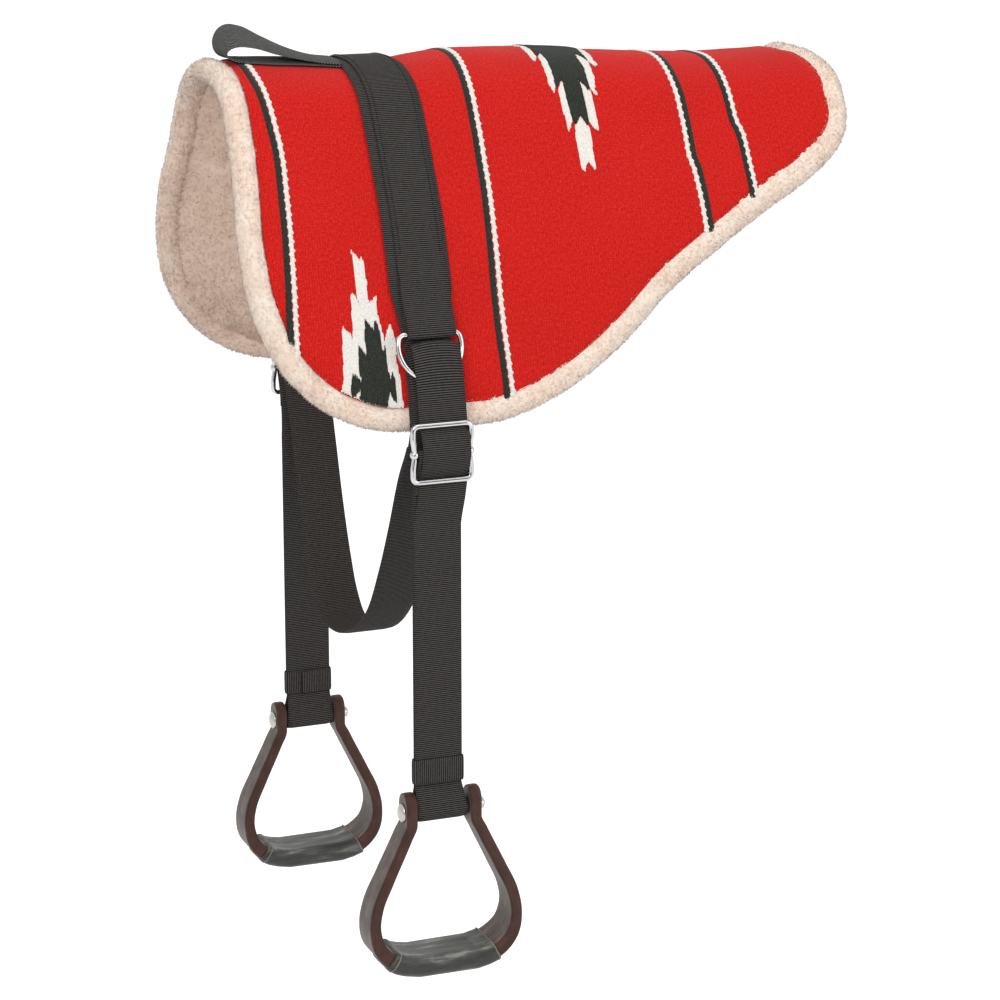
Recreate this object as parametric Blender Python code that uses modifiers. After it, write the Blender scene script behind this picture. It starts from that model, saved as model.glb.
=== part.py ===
"""Bareback pad: a blanket-topped fleece pad with webbing, hanging rings, straps and stirrups.

X runs toward the horse's tail, Y toward its right (far) side and Z up. The origin lies on the
underside of the fleece at the spine, over the girth line. The pad is modelled flat and then
wrapped round the horse's back, as the real one is; webbing is a path in the Y-Z plane.
"""
import math

import bmesh
import bpy
import numpy as np
from mathutils import Matrix, Vector

# Clearances
SEAT_GAP = 0.0003
SOFT_GAP = 0.0006
EDGE_GAP = 0.0020

# Webbing
WEB_THICK = 0.0022
STRAP_WIDTH = 0.0490
BAND_WIDTH = 0.0635
BAND_FORWARD = 0.0025
LAYER = WEB_THICK + SEAT_GAP

# Pad, measured flat from the spine and then as it hangs
PAD_ARC = 0.4207
PAD_FRONT = 0.168
PAD_REAR = 0.484
PAD_HALF_WIDTH = 0.2008
PAD_DROP = 0.3340
BLANKET_THICK = 0.0030
CORE_THICK = 0.0094
FLEECE_THICK = 0.0080
BINDING_RADIUS = 0.0115
PAD_ROWS = 15
LAST_ROW_SHARES = (0.5, 0.85, 1)
SECTION_OUT_SHARES = (0, 0.203, 0.383, 0.501, 0.602, 0.700, 0.778, 0.844, 0.907, 0.961, 1)
SECTION_DROP_SHARES = (0, 0.014, 0.073, 0.176, 0.286, 0.397, 0.514, 0.634, 0.754, 0.876, 1)
FRONT_EDGE_SHARES = (1, 1.003, 1.018, 1.048, 1.012, 0.893, 0.696, 0.443, 0.18)
REAR_EDGE_SHARES = (1, 1.028, 0.994, 0.762, 0.564, 0.439, 0.320, 0.204, 0.103)
SPINE_SWAY = 0.008
FRONT_SWAY_SHARES = (0, 0.4, 0.65, 0.75, 0.75)
REAR_SWAY_SHARES = (0, 1, 0.95, 0.6, 0, -0.55, -0.87, -0.75, -0.5)
FRONT_COLUMN_SHARES = (1, 0.5, 0)
REAR_COLUMN_SHARES = (0, 0.125, 0.3, 0.55, 0.78, 1)
LEAST_COLUMN_SHARE = 0.1
PAD_THICK = BLANKET_THICK + CORE_THICK + FLEECE_THICK + 2 * SOFT_GAP
BAND_FRONT = -BAND_WIDTH / 2 - BAND_FORWARD
BAND_REAR = BAND_WIDTH / 2 - BAND_FORWARD

# Belly band, from the pad's near edge round to its far edge
GIRTH_DROP = 0.2715
GIRTH_LAP = 0.045
GIRTH_OUT_SHARES = (-1, -0.971, -0.841, -0.689, -0.547, -0.342, -0.072, 0.193,
                    0.379, 0.499, 0.598, 0.713, 0.819, 0.916, 0.981, 1)
GIRTH_DROP_SHARES = (0, 0.057, 0.204, 0.425, 0.611, 0.820, 0.952, 1,
                     0.989, 0.912, 0.783, 0.580, 0.348, 0.145, 0.042, 0)

# Hand hold on the spine
HANDLE_FRONT = 0.149
HANDLE_BACK = 0.0005
HANDLE_RISE = 0.0235
HANDLE_LEAN = 0.39
HANDLE_REACH_SHARES = (0, 0.3, 0.6, 0.82, 0.93, 0.985, 1.0, 0.965, 0.90, 0.78, 0.60, 0.38, 0.18, 0)
HANDLE_RISE_SHARES = (0, 0, 0, 0, 0.06, 0.25, 0.52, 0.84, 1.0, 0.97, 0.66, 0.32, 0.14, 0.115)

# Ring that each stirrup strap hangs in
RING_WIRE = 0.0030
RING_ROOM = 0.0080
RING_RADIUS = STRAP_WIDTH / 2 + RING_ROOM
BAR_ROOM = 0.0055
RING_BAR_HALF = STRAP_WIDTH / 2 + BAR_ROOM
RING_FORWARD = 0.0022
RING_CORNER = 0.0030
RING_PLACE = 0.3293
RING_EASE = 0.0008
RIGGING_RETURN = 0.048
RETURN_PLACE_SHARES = (0.75, 0.30)
RETURN_LIFT_SHARE = 0.45

# Stirrup strap and its slide
STRAP_CLEAR = 0.0026
BOLT_BELOW_RING = 0.4800
FAR_LET_OUT = 0.032
FOLD_SLACK = 0.005
SLIDE_BELOW_RING = 0.1125
SLIDE_HALF_HEIGHT = 0.0278
SLIDE_ROOM = 0.0055
SLIDE_HALF_WIDTH = STRAP_WIDTH / 2 + SLIDE_ROOM
SLIDE_PINCH = 0.0015
SLIDE_WIRE = 0.0025
SLIDE_BAR = 0.0022
SLIDE_BALL = 0.0046
BALL_NECK_SHARES = ((0.35, 0.9), (0.72, 0.48))
SEWN_RETURN = 0.042
TAIL_ABOVE_BOLT = 0.034
KEEPER_HEIGHT = 0.0254
KEEPER_ABOVE_BOLT = 0.042
KEEPER_THICK = 0.0016
KEEPER_LAP = 0.018
SLIDE_WAVE_SHARES = (0.75, 0.62)

# Stirrup
NECK_ROOM = 0.0076
NECK_GAP = STRAP_WIDTH + NECK_ROOM
ARM_THICK = 0.0118
ARM_TOP = 0.0205
STIRRUP_HALF_WIDTH = 0.0757
STIRRUP_DROP = 0.158
TREAD_THICK = 0.016
NECK_DEPTH = 0.027
TREAD_DEPTH = 0.049
TREAD_FLAT_HALF = 0.030
FRAME_EDGE_ROUND = 0.0028
SIDE_SPREAD_SHARES = (0, 0, 0, 0.14, 0.61, 0.92, 1, 0.875)
SIDE_DROP_SHARES = (-0.13, 0.048, 0.066, 0.15, 0.408, 0.592, 0.718, 0.861)
TURN_REACH_SHARE = 0.72
TURN_DROP_SHARE = 0.957
DEPTH_SHARES = (0, 0, 0.02, 0.10, 0.24, 0.40, 0.68, 0.95, 1)
ARM_TOP_SHARES = (0.03, 0.12, 0.28, 0.52, 0.8)
ARM_TIP_SHARE = 0.62
LEATHER_THICK = 0.0026
COVER_HALF_SPAN = 0.062

# Stirrup bolt
BOLT_RADIUS = 0.0030
BOLT_HEAD_RADIUS = 0.0097
BOLT_HEAD_HEIGHT = 0.0045
SLEEVE_RADIUS = 0.0086
NUT_RADIUS = 0.0058
NUT_HEIGHT = 0.0050
NUT_ROUND_SHARES = (0.8, 0.86)
HEAD_RIM_SHARE = 0.125
BOLT_END = 0.0022
BORE_EASE = 0.0003
CUT_OVERRUN = 0.004

SIDES = (("near", -1), ("far", 1))


def clear_scene():
    for item in list(bpy.data.objects):
        bpy.data.objects.remove(item)


def make_collection(name, hidden=False):
    collection = bpy.data.collections.new(name)
    bpy.context.scene.collection.children.link(collection)
    collection.hide_render = hidden
    return collection


def make_material(name, colour, roughness, metallic=0.0):
    material = bpy.data.materials.new(name)
    material.use_nodes = True
    shader = material.node_tree.nodes["Principled BSDF"]
    shader.inputs["Base Color"].default_value = (*colour, 1)
    shader.inputs["Roughness"].default_value = roughness
    shader.inputs["Metallic"].default_value = metallic
    material.diffuse_color = (*colour, 1)
    return material


def mix(start, end, share):
    return start + (end - start) * share


def through(values, share, before=None):
    """Value at a share of the way along a smooth curve through evenly spaced values."""
    spans = len(values) - 1
    place = min(max(share, 0), 1) * spans
    index = min(int(place), spans - 1)
    part = place - index
    start, end = values[index], values[index + 1]
    first = 2 * start - end if before is None else before
    last = values[index + 2] if index + 2 <= spans else 2 * end - start
    first = values[index - 1] if index > 0 else first
    bend = (2 * first - 5 * start + 4 * end - last) * part * part
    twist = (3 * start - first - 3 * end + last) * part ** 3
    return start + ((end - first) * part + bend + twist) / 2


def smooth_path(points, steps, ahead=None, behind=None):
    """Points of a smooth curve through uneven points, with steps spans between each pair."""
    line = [Vector(point) for point in points]
    first = Vector(ahead) if ahead else 2 * line[0] - line[1]
    last = Vector(behind) if behind else 2 * line[-1] - line[-2]
    line = [first, *line, last]
    path = []
    for index in range(1, len(line) - 2):
        a, b, c, d = line[index - 1:index + 3]
        leave = slope_at(a, b, c)
        arrive = slope_at(b, c, d)
        length = (c - b).length
        for step in range(steps):
            t = step / steps
            near = (2 * t ** 3 - 3 * t ** 2 + 1) * b + (t ** 3 - 2 * t ** 2 + t) * length * leave
            far = (3 * t ** 2 - 2 * t ** 3) * c + (t ** 3 - t ** 2) * length * arrive
            path.append(near + far)
    return path + [line[-2]]


def slope_at(a, b, c):
    """Tangent of the curve at b, weighted toward the shorter span."""
    back, on = (b - a).length, (c - b).length
    return ((b - a) * on / back + (c - b) * back / on) / (back + on)


def offset_path(path, distance):
    """A plane path moved sideways to its left, with mitred corners."""
    moved = []
    for index, point in enumerate(path):
        before = path[max(index - 1, 0)]
        after = path[min(index + 1, len(path) - 1)]
        into = point - before if index else after - point
        out = after - point if index < len(path) - 1 else into
        left = Vector((-into.y, into.x)).normalized() + Vector((-out.y, out.x)).normalized()
        left.normalize()
        spread = left.dot(Vector((-out.y, out.x)).normalized())
        moved.append(point + left * distance / spread)
    return moved


def pad_section():
    """Rows of the blanket's upper surface from spine to edge, and the way out at each."""
    top = PAD_THICK
    shares = [row / PAD_ROWS for row in range(PAD_ROWS + 1)]
    rows = [PAD_ARC * (share + math.sin(math.pi / 2 * share)) / 2 for share in shares]
    line = []
    for place in rows:
        share = place / PAD_ARC
        out = PAD_HALF_WIDTH * through(SECTION_OUT_SHARES, share)
        drop = PAD_DROP * through(SECTION_DROP_SHARES, share, before=SECTION_DROP_SHARES[1])
        line.append(Vector((out, top - drop)))
    mirrored = Vector((-line[1].x, line[1].y))
    extended = [mirrored, *line, 2 * line[-1] - line[-2]]
    outward = offset_path(extended, 1.0)[1:-1]
    return rows, line, [end - start for start, end in zip(line, outward)]


ROWS, SECTION, OUTWARD = pad_section()


def pad_point(place, height):
    """Y and Z at a signed distance from the spine and a height above the blanket."""
    reach = abs(place)
    row = min(int(np.searchsorted(ROWS, reach, side="right")) - 1, PAD_ROWS - 1)
    part = (reach - ROWS[row]) / (ROWS[row + 1] - ROWS[row])
    lower = SECTION[row] + OUTWARD[row] * height
    upper = SECTION[row + 1] + OUTWARD[row + 1] * height
    point = lower.lerp(upper, part)
    return Vector((math.copysign(point.x, place), point.y))


def sway(x, place):
    """Rise of the soft pad beside the tight band, level under it and fading toward the edge."""
    front = (BAND_FRONT - x) / (BAND_FRONT + PAD_FRONT)
    rear = (x - BAND_REAR) / (PAD_REAR - BAND_REAR)
    rise = through(FRONT_SWAY_SHARES, front) + through(REAR_SWAY_SHARES, rear)
    return SPINE_SWAY * rise * (1 - min(abs(place) / PAD_ARC, 1))


def outline(inset):
    """Rows of the pad's outline moved inward: distance from spine, front X and rear X."""
    steps = np.linspace(0, 1, 12 * PAD_ROWS + 1)
    front = [(-PAD_FRONT * through(FRONT_EDGE_SHARES, t, FRONT_EDGE_SHARES[1]),
              PAD_ARC * math.sin(t * math.pi / 2)) for t in steps]
    rear = [(PAD_REAR * through(REAR_EDGE_SHARES, t, REAR_EDGE_SHARES[1]),
             PAD_ARC * math.sin(t * math.pi / 2)) for t in steps]
    line = [Vector(point) for point in front + rear[::-1]]
    moved = offset_path(line, -inset) if inset else line
    ends = [Vector((point.x, 0)) for point in (moved[0], moved[-1])]
    deepest = PAD_ARC - inset
    half = len(front)
    fore = np.array([ends[0], *[p for p in moved[:half] if 0 < p.y <= deepest]])
    aft = np.array([ends[1], *[p for p in moved[:half - 1:-1] if 0 < p.y <= deepest]])
    last = [row for row in ROWS if row < deepest - BINDING_RADIUS]
    places = last + [mix(last[-1], deepest, share) for share in LAST_ROW_SHARES]
    return [(place, np.interp(place, fore[:, 1], fore[:, 0]), np.interp(place, aft[:, 1], aft[:, 0]))
            for place in places]


def evaluated_mesh(source):
    """The object's mesh with its modifiers applied."""
    bpy.context.view_layer.update()
    graph = bpy.context.evaluated_depsgraph_get()
    return bpy.data.meshes.new_from_object(source.evaluated_get(graph))


def make_mesh(name, mesh, material, collection, origin=(0, 0, 0), smooth=False):
    """An object in its collection, with its mesh in world coordinates about the given origin."""
    mesh.name = name
    tidy = bmesh.new()
    tidy.from_mesh(mesh)
    bmesh.ops.recalc_face_normals(tidy, faces=tidy.faces)
    tidy.to_mesh(mesh)
    tidy.free()
    mesh.transform(Matrix.Translation(-Vector(origin)))
    mesh.materials.clear()
    mesh.materials.append(material)
    for face in mesh.polygons:
        face.use_smooth = smooth
    item = bpy.data.objects.new(name, mesh)
    item.location = origin
    collection.objects.link(item)
    return item


def baked(mesh, modifiers=()):
    """A mesh with modifiers applied, given as (type, settings) pairs."""
    holder = bpy.data.objects.new("holder", mesh)
    bpy.context.scene.collection.objects.link(holder)
    for kind, settings in modifiers:
        modifier = holder.modifiers.new(kind.title(), kind)
        for key, value in settings.items():
            setattr(modifier, key, value)
    result = evaluated_mesh(holder)
    bpy.data.objects.remove(holder)
    return result


def grid_mesh(columns, spans, place):
    """A grid of quads whose corners are put where place(column, row) says."""
    grid = bmesh.new()
    bmesh.ops.create_grid(grid, x_segments=columns, y_segments=spans, size=1)
    for corner in grid.verts:
        column = round((corner.co.x + 1) / 2 * columns)
        row = round((corner.co.y + 1) / 2 * spans)
        corner.co = place(column, row)
    mesh = bpy.data.meshes.new("grid")
    grid.to_mesh(mesh)
    grid.free()
    return mesh


def wrap(mesh):
    """Bends a flat mesh, given as X, distance from spine and height, over the horse's back."""
    for corner in mesh.vertices:
        x, place, height = corner.co
        point = pad_point(place, height)
        corner.co = (x, point.x, point.y + sway(x, place))
    return mesh


def pad_layer(name, depth, thickness, inset, material, collection):
    """One sheet of the pad between two depths below the blanket's upper surface."""
    rows = outline(inset)
    last = len(rows) - 1

    def place(column, row):
        reach, front, rear = rows[abs(row - last)]
        band_front = max(BAND_FRONT, mix(front, rear, LEAST_COLUMN_SHARE))
        band_rear = min(BAND_REAR, mix(rear, front, LEAST_COLUMN_SHARE))
        fore = [mix(band_front, front, share) for share in FRONT_COLUMN_SHARES]
        aft = [mix(band_rear, rear, share) for share in REAR_COLUMN_SHARES]
        return (fore + aft)[column], math.copysign(reach, row - last), -depth

    flat = grid_mesh(len(FRONT_COLUMN_SHARES + REAR_COLUMN_SHARES) - 1, 2 * last, place)
    solid = baked(flat, [("SOLIDIFY", {"thickness": thickness, "offset": -1})])
    return make_mesh(name, wrap(solid), material, collection, smooth=False)


def layer_inset(top, bottom):
    """How far in a layer stops so that it meets the round binding with the soft gap."""
    middle = PAD_THICK / 2
    nearest = min(abs(top - middle), abs(bottom - middle))
    if top < middle < bottom:
        nearest = 0
    clear = BINDING_RADIUS + EDGE_GAP
    return BINDING_RADIUS + math.sqrt(clear ** 2 - nearest ** 2)


def tube_mesh(points, radius, cyclic=True, resolution=2):
    """A wire or roll: a poly curve with a round bevel, as a mesh."""
    curve = bpy.data.curves.new("tube", "CURVE")
    curve.dimensions = "3D"
    curve.bevel_depth = radius
    curve.bevel_resolution = resolution
    curve.use_fill_caps = not cyclic
    spline = curve.splines.new("POLY")
    spline.points.add(len(points) - 1)
    for knot, point in zip(spline.points, points):
        knot.co = (*point, 1)
    spline.use_cyclic_u = cyclic
    holder = bpy.data.objects.new("tube", curve)
    bpy.context.scene.collection.objects.link(holder)
    mesh = evaluated_mesh(holder)
    bpy.data.objects.remove(holder)
    welded = bmesh.new()
    welded.from_mesh(mesh)
    bmesh.ops.remove_doubles(welded, verts=welded.verts, dist=SEAT_GAP / 10)
    welded.to_mesh(mesh)
    welded.free()
    return mesh


def make_binding(material, collection):
    """The fleece roll sewn round the pad's whole edge."""
    rows = outline(BINDING_RADIUS)
    middle = -PAD_THICK / 2
    bottom, fore, aft = rows[-1]
    across = [(mix(fore, aft, step / 4), bottom) for step in range(1, 4)]
    near = [(front, -place) for place, front, rear in rows]
    near += [(x, -place) for x, place in across]
    near += [(rear, -place) for place, front, rear in rows[::-1]]
    far = [(rear, place) for place, front, rear in rows[1:]] + across[::-1]
    far += [(front, place) for place, front, rear in rows[:0:-1]]
    loop = [(x, place, middle) for x, place in near + far]
    roll = tube_mesh(loop, BINDING_RADIUS, resolution=3)
    return make_mesh("fleece_binding", wrap(roll), material, collection, smooth=True)


def strip_mesh(path, widths, centre=0.0):
    """Flat webbing whose middle follows a path of (Y, Z) points, as a closed solid."""
    def place(column, row):
        y, z = path[row]
        return centre + widths[row] * (column - 1 / 2), y, z

    settings = {"thickness": WEB_THICK, "offset": 0, "use_even_offset": True}
    return baked(grid_mesh(1, len(path) - 1, place), [("SOLIDIFY", settings)])


def arc_points(centre, radius, start, end, steps):
    """Points on an arc in the Y-Z plane, with both ends, in degrees from outward."""
    angles = [math.radians(mix(start, end, step / steps)) for step in range(steps + 1)]
    return [Vector((centre[0] + radius * math.cos(a), centre[1] + radius * math.sin(a)))
            for a in angles]


# Heights above the blanket of the middle of each webbing layer
BAND_LIFT = BINDING_RADIUS - PAD_THICK / 2 + SEAT_GAP
BAND_HEIGHT = BAND_LIFT + WEB_THICK / 2
RIGGING_HEIGHT = BAND_HEIGHT + LAYER
RING_FOLD = RING_WIRE + SEAT_GAP + WEB_THICK / 2
RING_HEIGHT = RIGGING_HEIGHT + RING_FOLD + RING_EASE


def girth_path():
    """The belly band's line from the pad's near edge under the belly to its far edge."""
    edge = pad_point(PAD_ARC, BAND_HEIGHT)
    points = [(edge.x * out, edge.y - GIRTH_DROP * drop)
              for out, drop in zip(GIRTH_OUT_SHARES, GIRTH_DROP_SHARES)]
    return smooth_path(points, 3)


def path_lengths(path):
    lengths = [0]
    for start, end in zip(path, path[1:]):
        lengths.append(lengths[-1] + (end - start).length)
    return lengths


def make_surcingle(material, collection):
    """The wide band over the pad, with a tail past each edge that the belly band is sewn to."""
    places = [-place for place in ROWS[:0:-1]] + ROWS
    over = [pad_point(place, BAND_HEIGHT) for place in places]
    below = girth_path()
    lengths = path_lengths(below)
    tail = GIRTH_LAP + PAD_THICK
    near_tail = [p for p, length in zip(below, lengths) if 0 < length <= tail]
    far_tail = [p for p, length in zip(below, lengths) if 0 < lengths[-1] - length <= tail]
    path = near_tail[::-1] + over + far_tail[::-1]
    full = [max(0, min(1, (RING_PLACE - abs(place)) / GIRTH_LAP)) for place in places]
    wide = [mix(STRAP_WIDTH, BAND_WIDTH, share) for share in full]
    widths = [STRAP_WIDTH] * len(near_tail) + wide + [STRAP_WIDTH] * len(far_tail)
    solid = strip_mesh(path, widths, -BAND_FORWARD)
    return make_mesh("surcingle", solid, material, collection)


def make_girth(material, collection):
    """The belly band, lapped inside both tails of the surcingle."""
    below = girth_path()
    lengths = path_lengths(below)
    inner = offset_path(below, LAYER)
    path = [point for point, length in zip(inner, lengths)
            if PAD_THICK < length < lengths[-1] - PAD_THICK]
    solid = strip_mesh(path, [STRAP_WIDTH] * len(path), -BAND_FORWARD)
    return make_mesh("girth_band", solid, material, collection)


def rigging_half():
    """The rigging strap from its sewn return, round the ring's bar, up to the spine."""
    bar = RING_PLACE
    start = bar - RIGGING_RETURN
    half = [pad_point(place, RIGGING_HEIGHT) for place in (start, mix(start, bar, 0.5))]
    for step in range(9):
        angle = math.radians(mix(-90, 90, step / 8))
        reach = bar + RING_FOLD * math.cos(angle)
        half.append(pad_point(reach, RING_HEIGHT + RING_FOLD * math.sin(angle)))
    top = RING_HEIGHT + RING_FOLD
    clear = RIGGING_HEIGHT + LAYER + SEAT_GAP
    high, low = RETURN_PLACE_SHARES
    half.append(pad_point(mix(start, bar, high), top))
    half.append(pad_point(mix(start, bar, low), mix(clear, top, RETURN_LIFT_SHARE)))
    half.append(pad_point(start - LAYER, clear))
    rest = start - 8 * LAYER
    half.append(pad_point(rest, RIGGING_HEIGHT))
    upper = [place for place in ROWS[::-1] if place < rest - LAYER]
    return half + [pad_point(place, RIGGING_HEIGHT) for place in upper]


def make_rigging(material, collection):
    """The narrow strap over the surcingle that carries both rings."""
    far = rigging_half()
    near = [Vector((-point.x, point.y)) for point in far]
    path = near + far[-2::-1]
    solid = strip_mesh(path, [STRAP_WIDTH] * len(path))
    return make_mesh("rigging_strap", solid, material, collection)


def make_handle(material, collection):
    """One webbing loop on the spine: its base lies on the blanket and it arches over itself."""
    back = HANDLE_BACK - BAND_FRONT
    points = [(-mix(back, HANDLE_FRONT, reach), HANDLE_RISE * lift)
              for reach, lift in zip(HANDLE_REACH_SHARES, HANDLE_RISE_SHARES)]
    path = smooth_path(points, 3)

    def place(column, row):
        x, height = path[row]
        across = column - 1
        crown = pad_point(STRAP_WIDTH / 2 * abs(across), 0).y
        lifted = height + HANDLE_LEAN * across * max(0, height - LAYER)
        return x, STRAP_WIDTH / 2 * across, crown + BAND_HEIGHT + lifted + sway(x, 0)

    flat = grid_mesh(2, len(path) - 1, place)
    settings = {"thickness": WEB_THICK, "offset": 0, "use_even_offset": True}
    solid = baked(flat, [("SOLIDIFY", settings), ("TRIANGULATE", {})])
    return make_mesh("hand_hold", solid, material, collection)


class HangingSide:
    """Places of one side's ring, strap, slide, keeper and stirrup, as (outward, up) points."""

    def __init__(self, side, let_out):
        self.side = side
        self.bar = pad_point(RING_PLACE, RING_HEIGHT)
        low = pad_point(RING_PLACE + RING_RADIUS + RING_WIRE, RING_HEIGHT)
        self.down = (low - self.bar).normalized()
        self.out = Vector((-self.down.y, self.down.x))
        drop = math.sqrt(RING_RADIUS ** 2 - RING_BAR_HALF ** 2)
        self.centre = self.bar + self.down * drop
        hang = pad_point(PAD_ARC, RIGGING_HEIGHT).x + STRAP_CLEAR
        self.bolt = Vector((hang, self.bar.y - BOLT_BELOW_RING - let_out))
        self.slide = Vector((hang + 5 / 2 * LAYER + SLIDE_WIRE + SEAT_GAP + WEB_THICK / 2,
                             self.bar.y - SLIDE_BELOW_RING))
        self.keeper = Vector((hang + LAYER / 2, self.bolt.y + KEEPER_ABOVE_BOLT))

    def world(self, point, x=0.0):
        return Vector((x, self.side * point[0], point[1]))

    def on_ring(self, down, out):
        return self.bar + self.down * down + self.out * out


def strap_path(place):
    """The stirrup strap: sewn round the slide's bar, round the sleeve, through the ring and back."""
    bolt, slide = place.bolt, place.slide
    at = Vector((bolt.x, 0))
    fold = SLIDE_BAR + SEAT_GAP + WEB_THICK / 2
    low, high = slide.y - SLIDE_HALF_HEIGHT, slide.y + SLIDE_HALF_HEIGHT
    path = [Vector((at.x + 3 / 2 * LAYER, slide.y - SEWN_RETURN))]
    path.append(Vector((at.x + 3 / 2 * LAYER, low)))
    path += arc_points(slide, fold, 0, 180, 8)
    path.append(Vector((at.x + LAYER / 2, low)))
    turn = bolt.y + KEEPER_ABOVE_BOLT - KEEPER_HEIGHT / 2
    wound = SLEEVE_RADIUS + SEAT_GAP + WEB_THICK / 2
    tangent = math.degrees(math.asin(wound / (turn - bolt.y)))
    run = [Vector((at.x + LAYER / 2, mix(low, turn, step / 6))) for step in range(1, 7)]
    path += run
    path += arc_points(bolt, wound, tangent, tangent - 180 - 2 * tangent, 14)
    path += [Vector((at.x - LAYER / 2, point.y)) for point in run[::-1]]
    path.append(Vector((at.x - LAYER / 2, low)))
    path.append(Vector((at.x - LAYER / 2, mix(low, high, 1 / 2))))
    edge = pad_point(PAD_ARC, RIGGING_HEIGHT)
    path.append(Vector((at.x - LAYER / 2, edge.y - 2 * LAYER)))
    past_ring = RING_PLACE + 2 * RING_RADIUS
    path.append(pad_point(mix(past_ring, PAD_ARC, 1 / 2), RIGGING_HEIGHT + 3 * SEAT_GAP))
    contact = math.sqrt((RING_RADIUS - RING_WIRE) ** 2 - (STRAP_WIDTH / 2 + RING_FORWARD) ** 2)
    ring_drop = (place.centre - place.bar).length
    apex = ring_drop + contact + RING_WIRE + SEAT_GAP - FOLD_SLACK
    foot = ring_drop + RING_RADIUS + RING_WIRE
    path.append(place.on_ring(foot, -RING_FOLD))
    for step in range(9):
        angle = math.radians(mix(180, 0, step / 8))
        path.append(place.on_ring(apex - RING_FOLD * math.sin(angle), RING_FOLD * math.cos(angle)))
    path.append(place.on_ring(foot, RING_FOLD))
    inside = slide.x - SLIDE_WIRE - SEAT_GAP - WEB_THICK / 2
    over = slide.x + fold + LAYER + SEAT_GAP
    rise, fall = (mix(inside, over, share) for share in SLIDE_WAVE_SHARES)
    wave = [(inside, high), (rise, slide.y + SLIDE_HALF_HEIGHT / 2),
            (over, slide.y + SLIDE_BAR), (over, slide.y - SLIDE_BAR),
            (fall, slide.y - SLIDE_HALF_HEIGHT / 2), (inside, low)]
    path += smooth_path(wave, 3, (inside, high + SLIDE_WIRE), (inside, low - SLIDE_WIRE))
    end = slide.y - SEWN_RETURN
    path.append(Vector((at.x + 5 / 2 * LAYER, end - 2 * LAYER)))
    path.append(Vector((at.x + 3 / 2 * LAYER, end - 10 * LAYER)))
    tail = bolt.y + TAIL_ABOVE_BOLT
    for step in range(1, 6):
        path.append(Vector((at.x + 3 / 2 * LAYER, mix(end - 10 * LAYER, tail, step / 5))))
    return path


def ring_points(place):
    """The ring's closed wire: a straight bar in the rigging fold and a round arc below it."""
    drop = (place.centre - place.bar).length
    first = math.degrees(math.asin(drop / RING_RADIUS))
    inset = math.degrees(2 * RING_CORNER / RING_RADIUS) / 2
    flat = RING_BAR_HALF - RING_CORNER
    points = [(mix(-flat, flat, step / 4), 0) for step in range(5)]
    for step in range(25):
        angle = math.radians(mix(first - inset, -180 - first + inset, step / 24))
        points.append((RING_RADIUS * math.cos(angle), drop - RING_RADIUS * math.sin(angle)))
    return [place.world(place.on_ring(down, 0), x - RING_FORWARD) for x, down in points]


def slide_points(place):
    """The slide's wire frame: four rounded corners and sides drawn in at the centre bar."""
    wide, high = SLIDE_HALF_WIDTH, SLIDE_HALF_HEIGHT
    corner = 2 * SLIDE_WIRE
    quarter = [(wide - SLIDE_PINCH, 0), (wide - SLIDE_PINCH, SLIDE_BALL + SEAT_GAP),
               (wide - SLIDE_PINCH / 2, high / 3), (wide, high / 2), (wide, high - corner)]
    for step in range(1, 5):
        angle = math.radians(90 * step / 4)
        across, up = corner * math.cos(angle), corner * math.sin(angle)
        quarter.append((wide - corner + across, high - corner + up))
    half = [(x, -z) for x, z in quarter[:0:-1]] + quarter
    loop = half + [(0, high)] + [(-x, -z) for x, z in half] + [(0, -high)]
    return [place.world(place.slide + Vector((0, z)), x) for x, z in loop]


def turned_mesh(profile, steps=20):
    """A turned solid about X: its outer profile as (X, radius) points, closed at the axis."""
    points = [(radius, 0, x) for x, radius in profile]
    mesh = bpy.data.meshes.new("profile")
    edges = [(index, index + 1) for index in range(len(points) - 1)]
    if profile[0] == profile[-1]:
        points, edges = points[:-1], edges[:-1] + [(len(points) - 2, 0)]
    mesh.from_pydata(points, edges, [])
    settings = {"steps": steps, "render_steps": steps, "use_merge_vertices": True,
                "merge_threshold": SEAT_GAP / 10}
    solid = baked(mesh, [("SCREW", settings)])
    solid.transform(Matrix.Rotation(math.pi / 2, 4, "Y"))
    return solid


def make_cutter(name, radius, half_length, centre, collection, axis="X"):
    """A plain cylinder that cuts a bore."""
    bpy.ops.mesh.primitive_cylinder_add(vertices=20, radius=radius, depth=2 * half_length)
    cutter = bpy.context.object
    cutter.name = name
    for owner in list(cutter.users_collection):
        owner.objects.unlink(cutter)
    collection.objects.link(cutter)
    if axis == "X":
        cutter.data.transform(Matrix.Rotation(math.pi / 2, 4, "Y"))
    cutter.location = centre
    cutter.hide_render = True
    cutter.display_type = "WIRE"
    return cutter


def cut(target, cutter):
    """Takes the cutter's shape out of the target."""
    modifier = target.modifiers.new("Bore", "BOOLEAN")
    modifier.operation = "DIFFERENCE"
    modifier.solver = "EXACT"
    modifier.object = cutter


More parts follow.
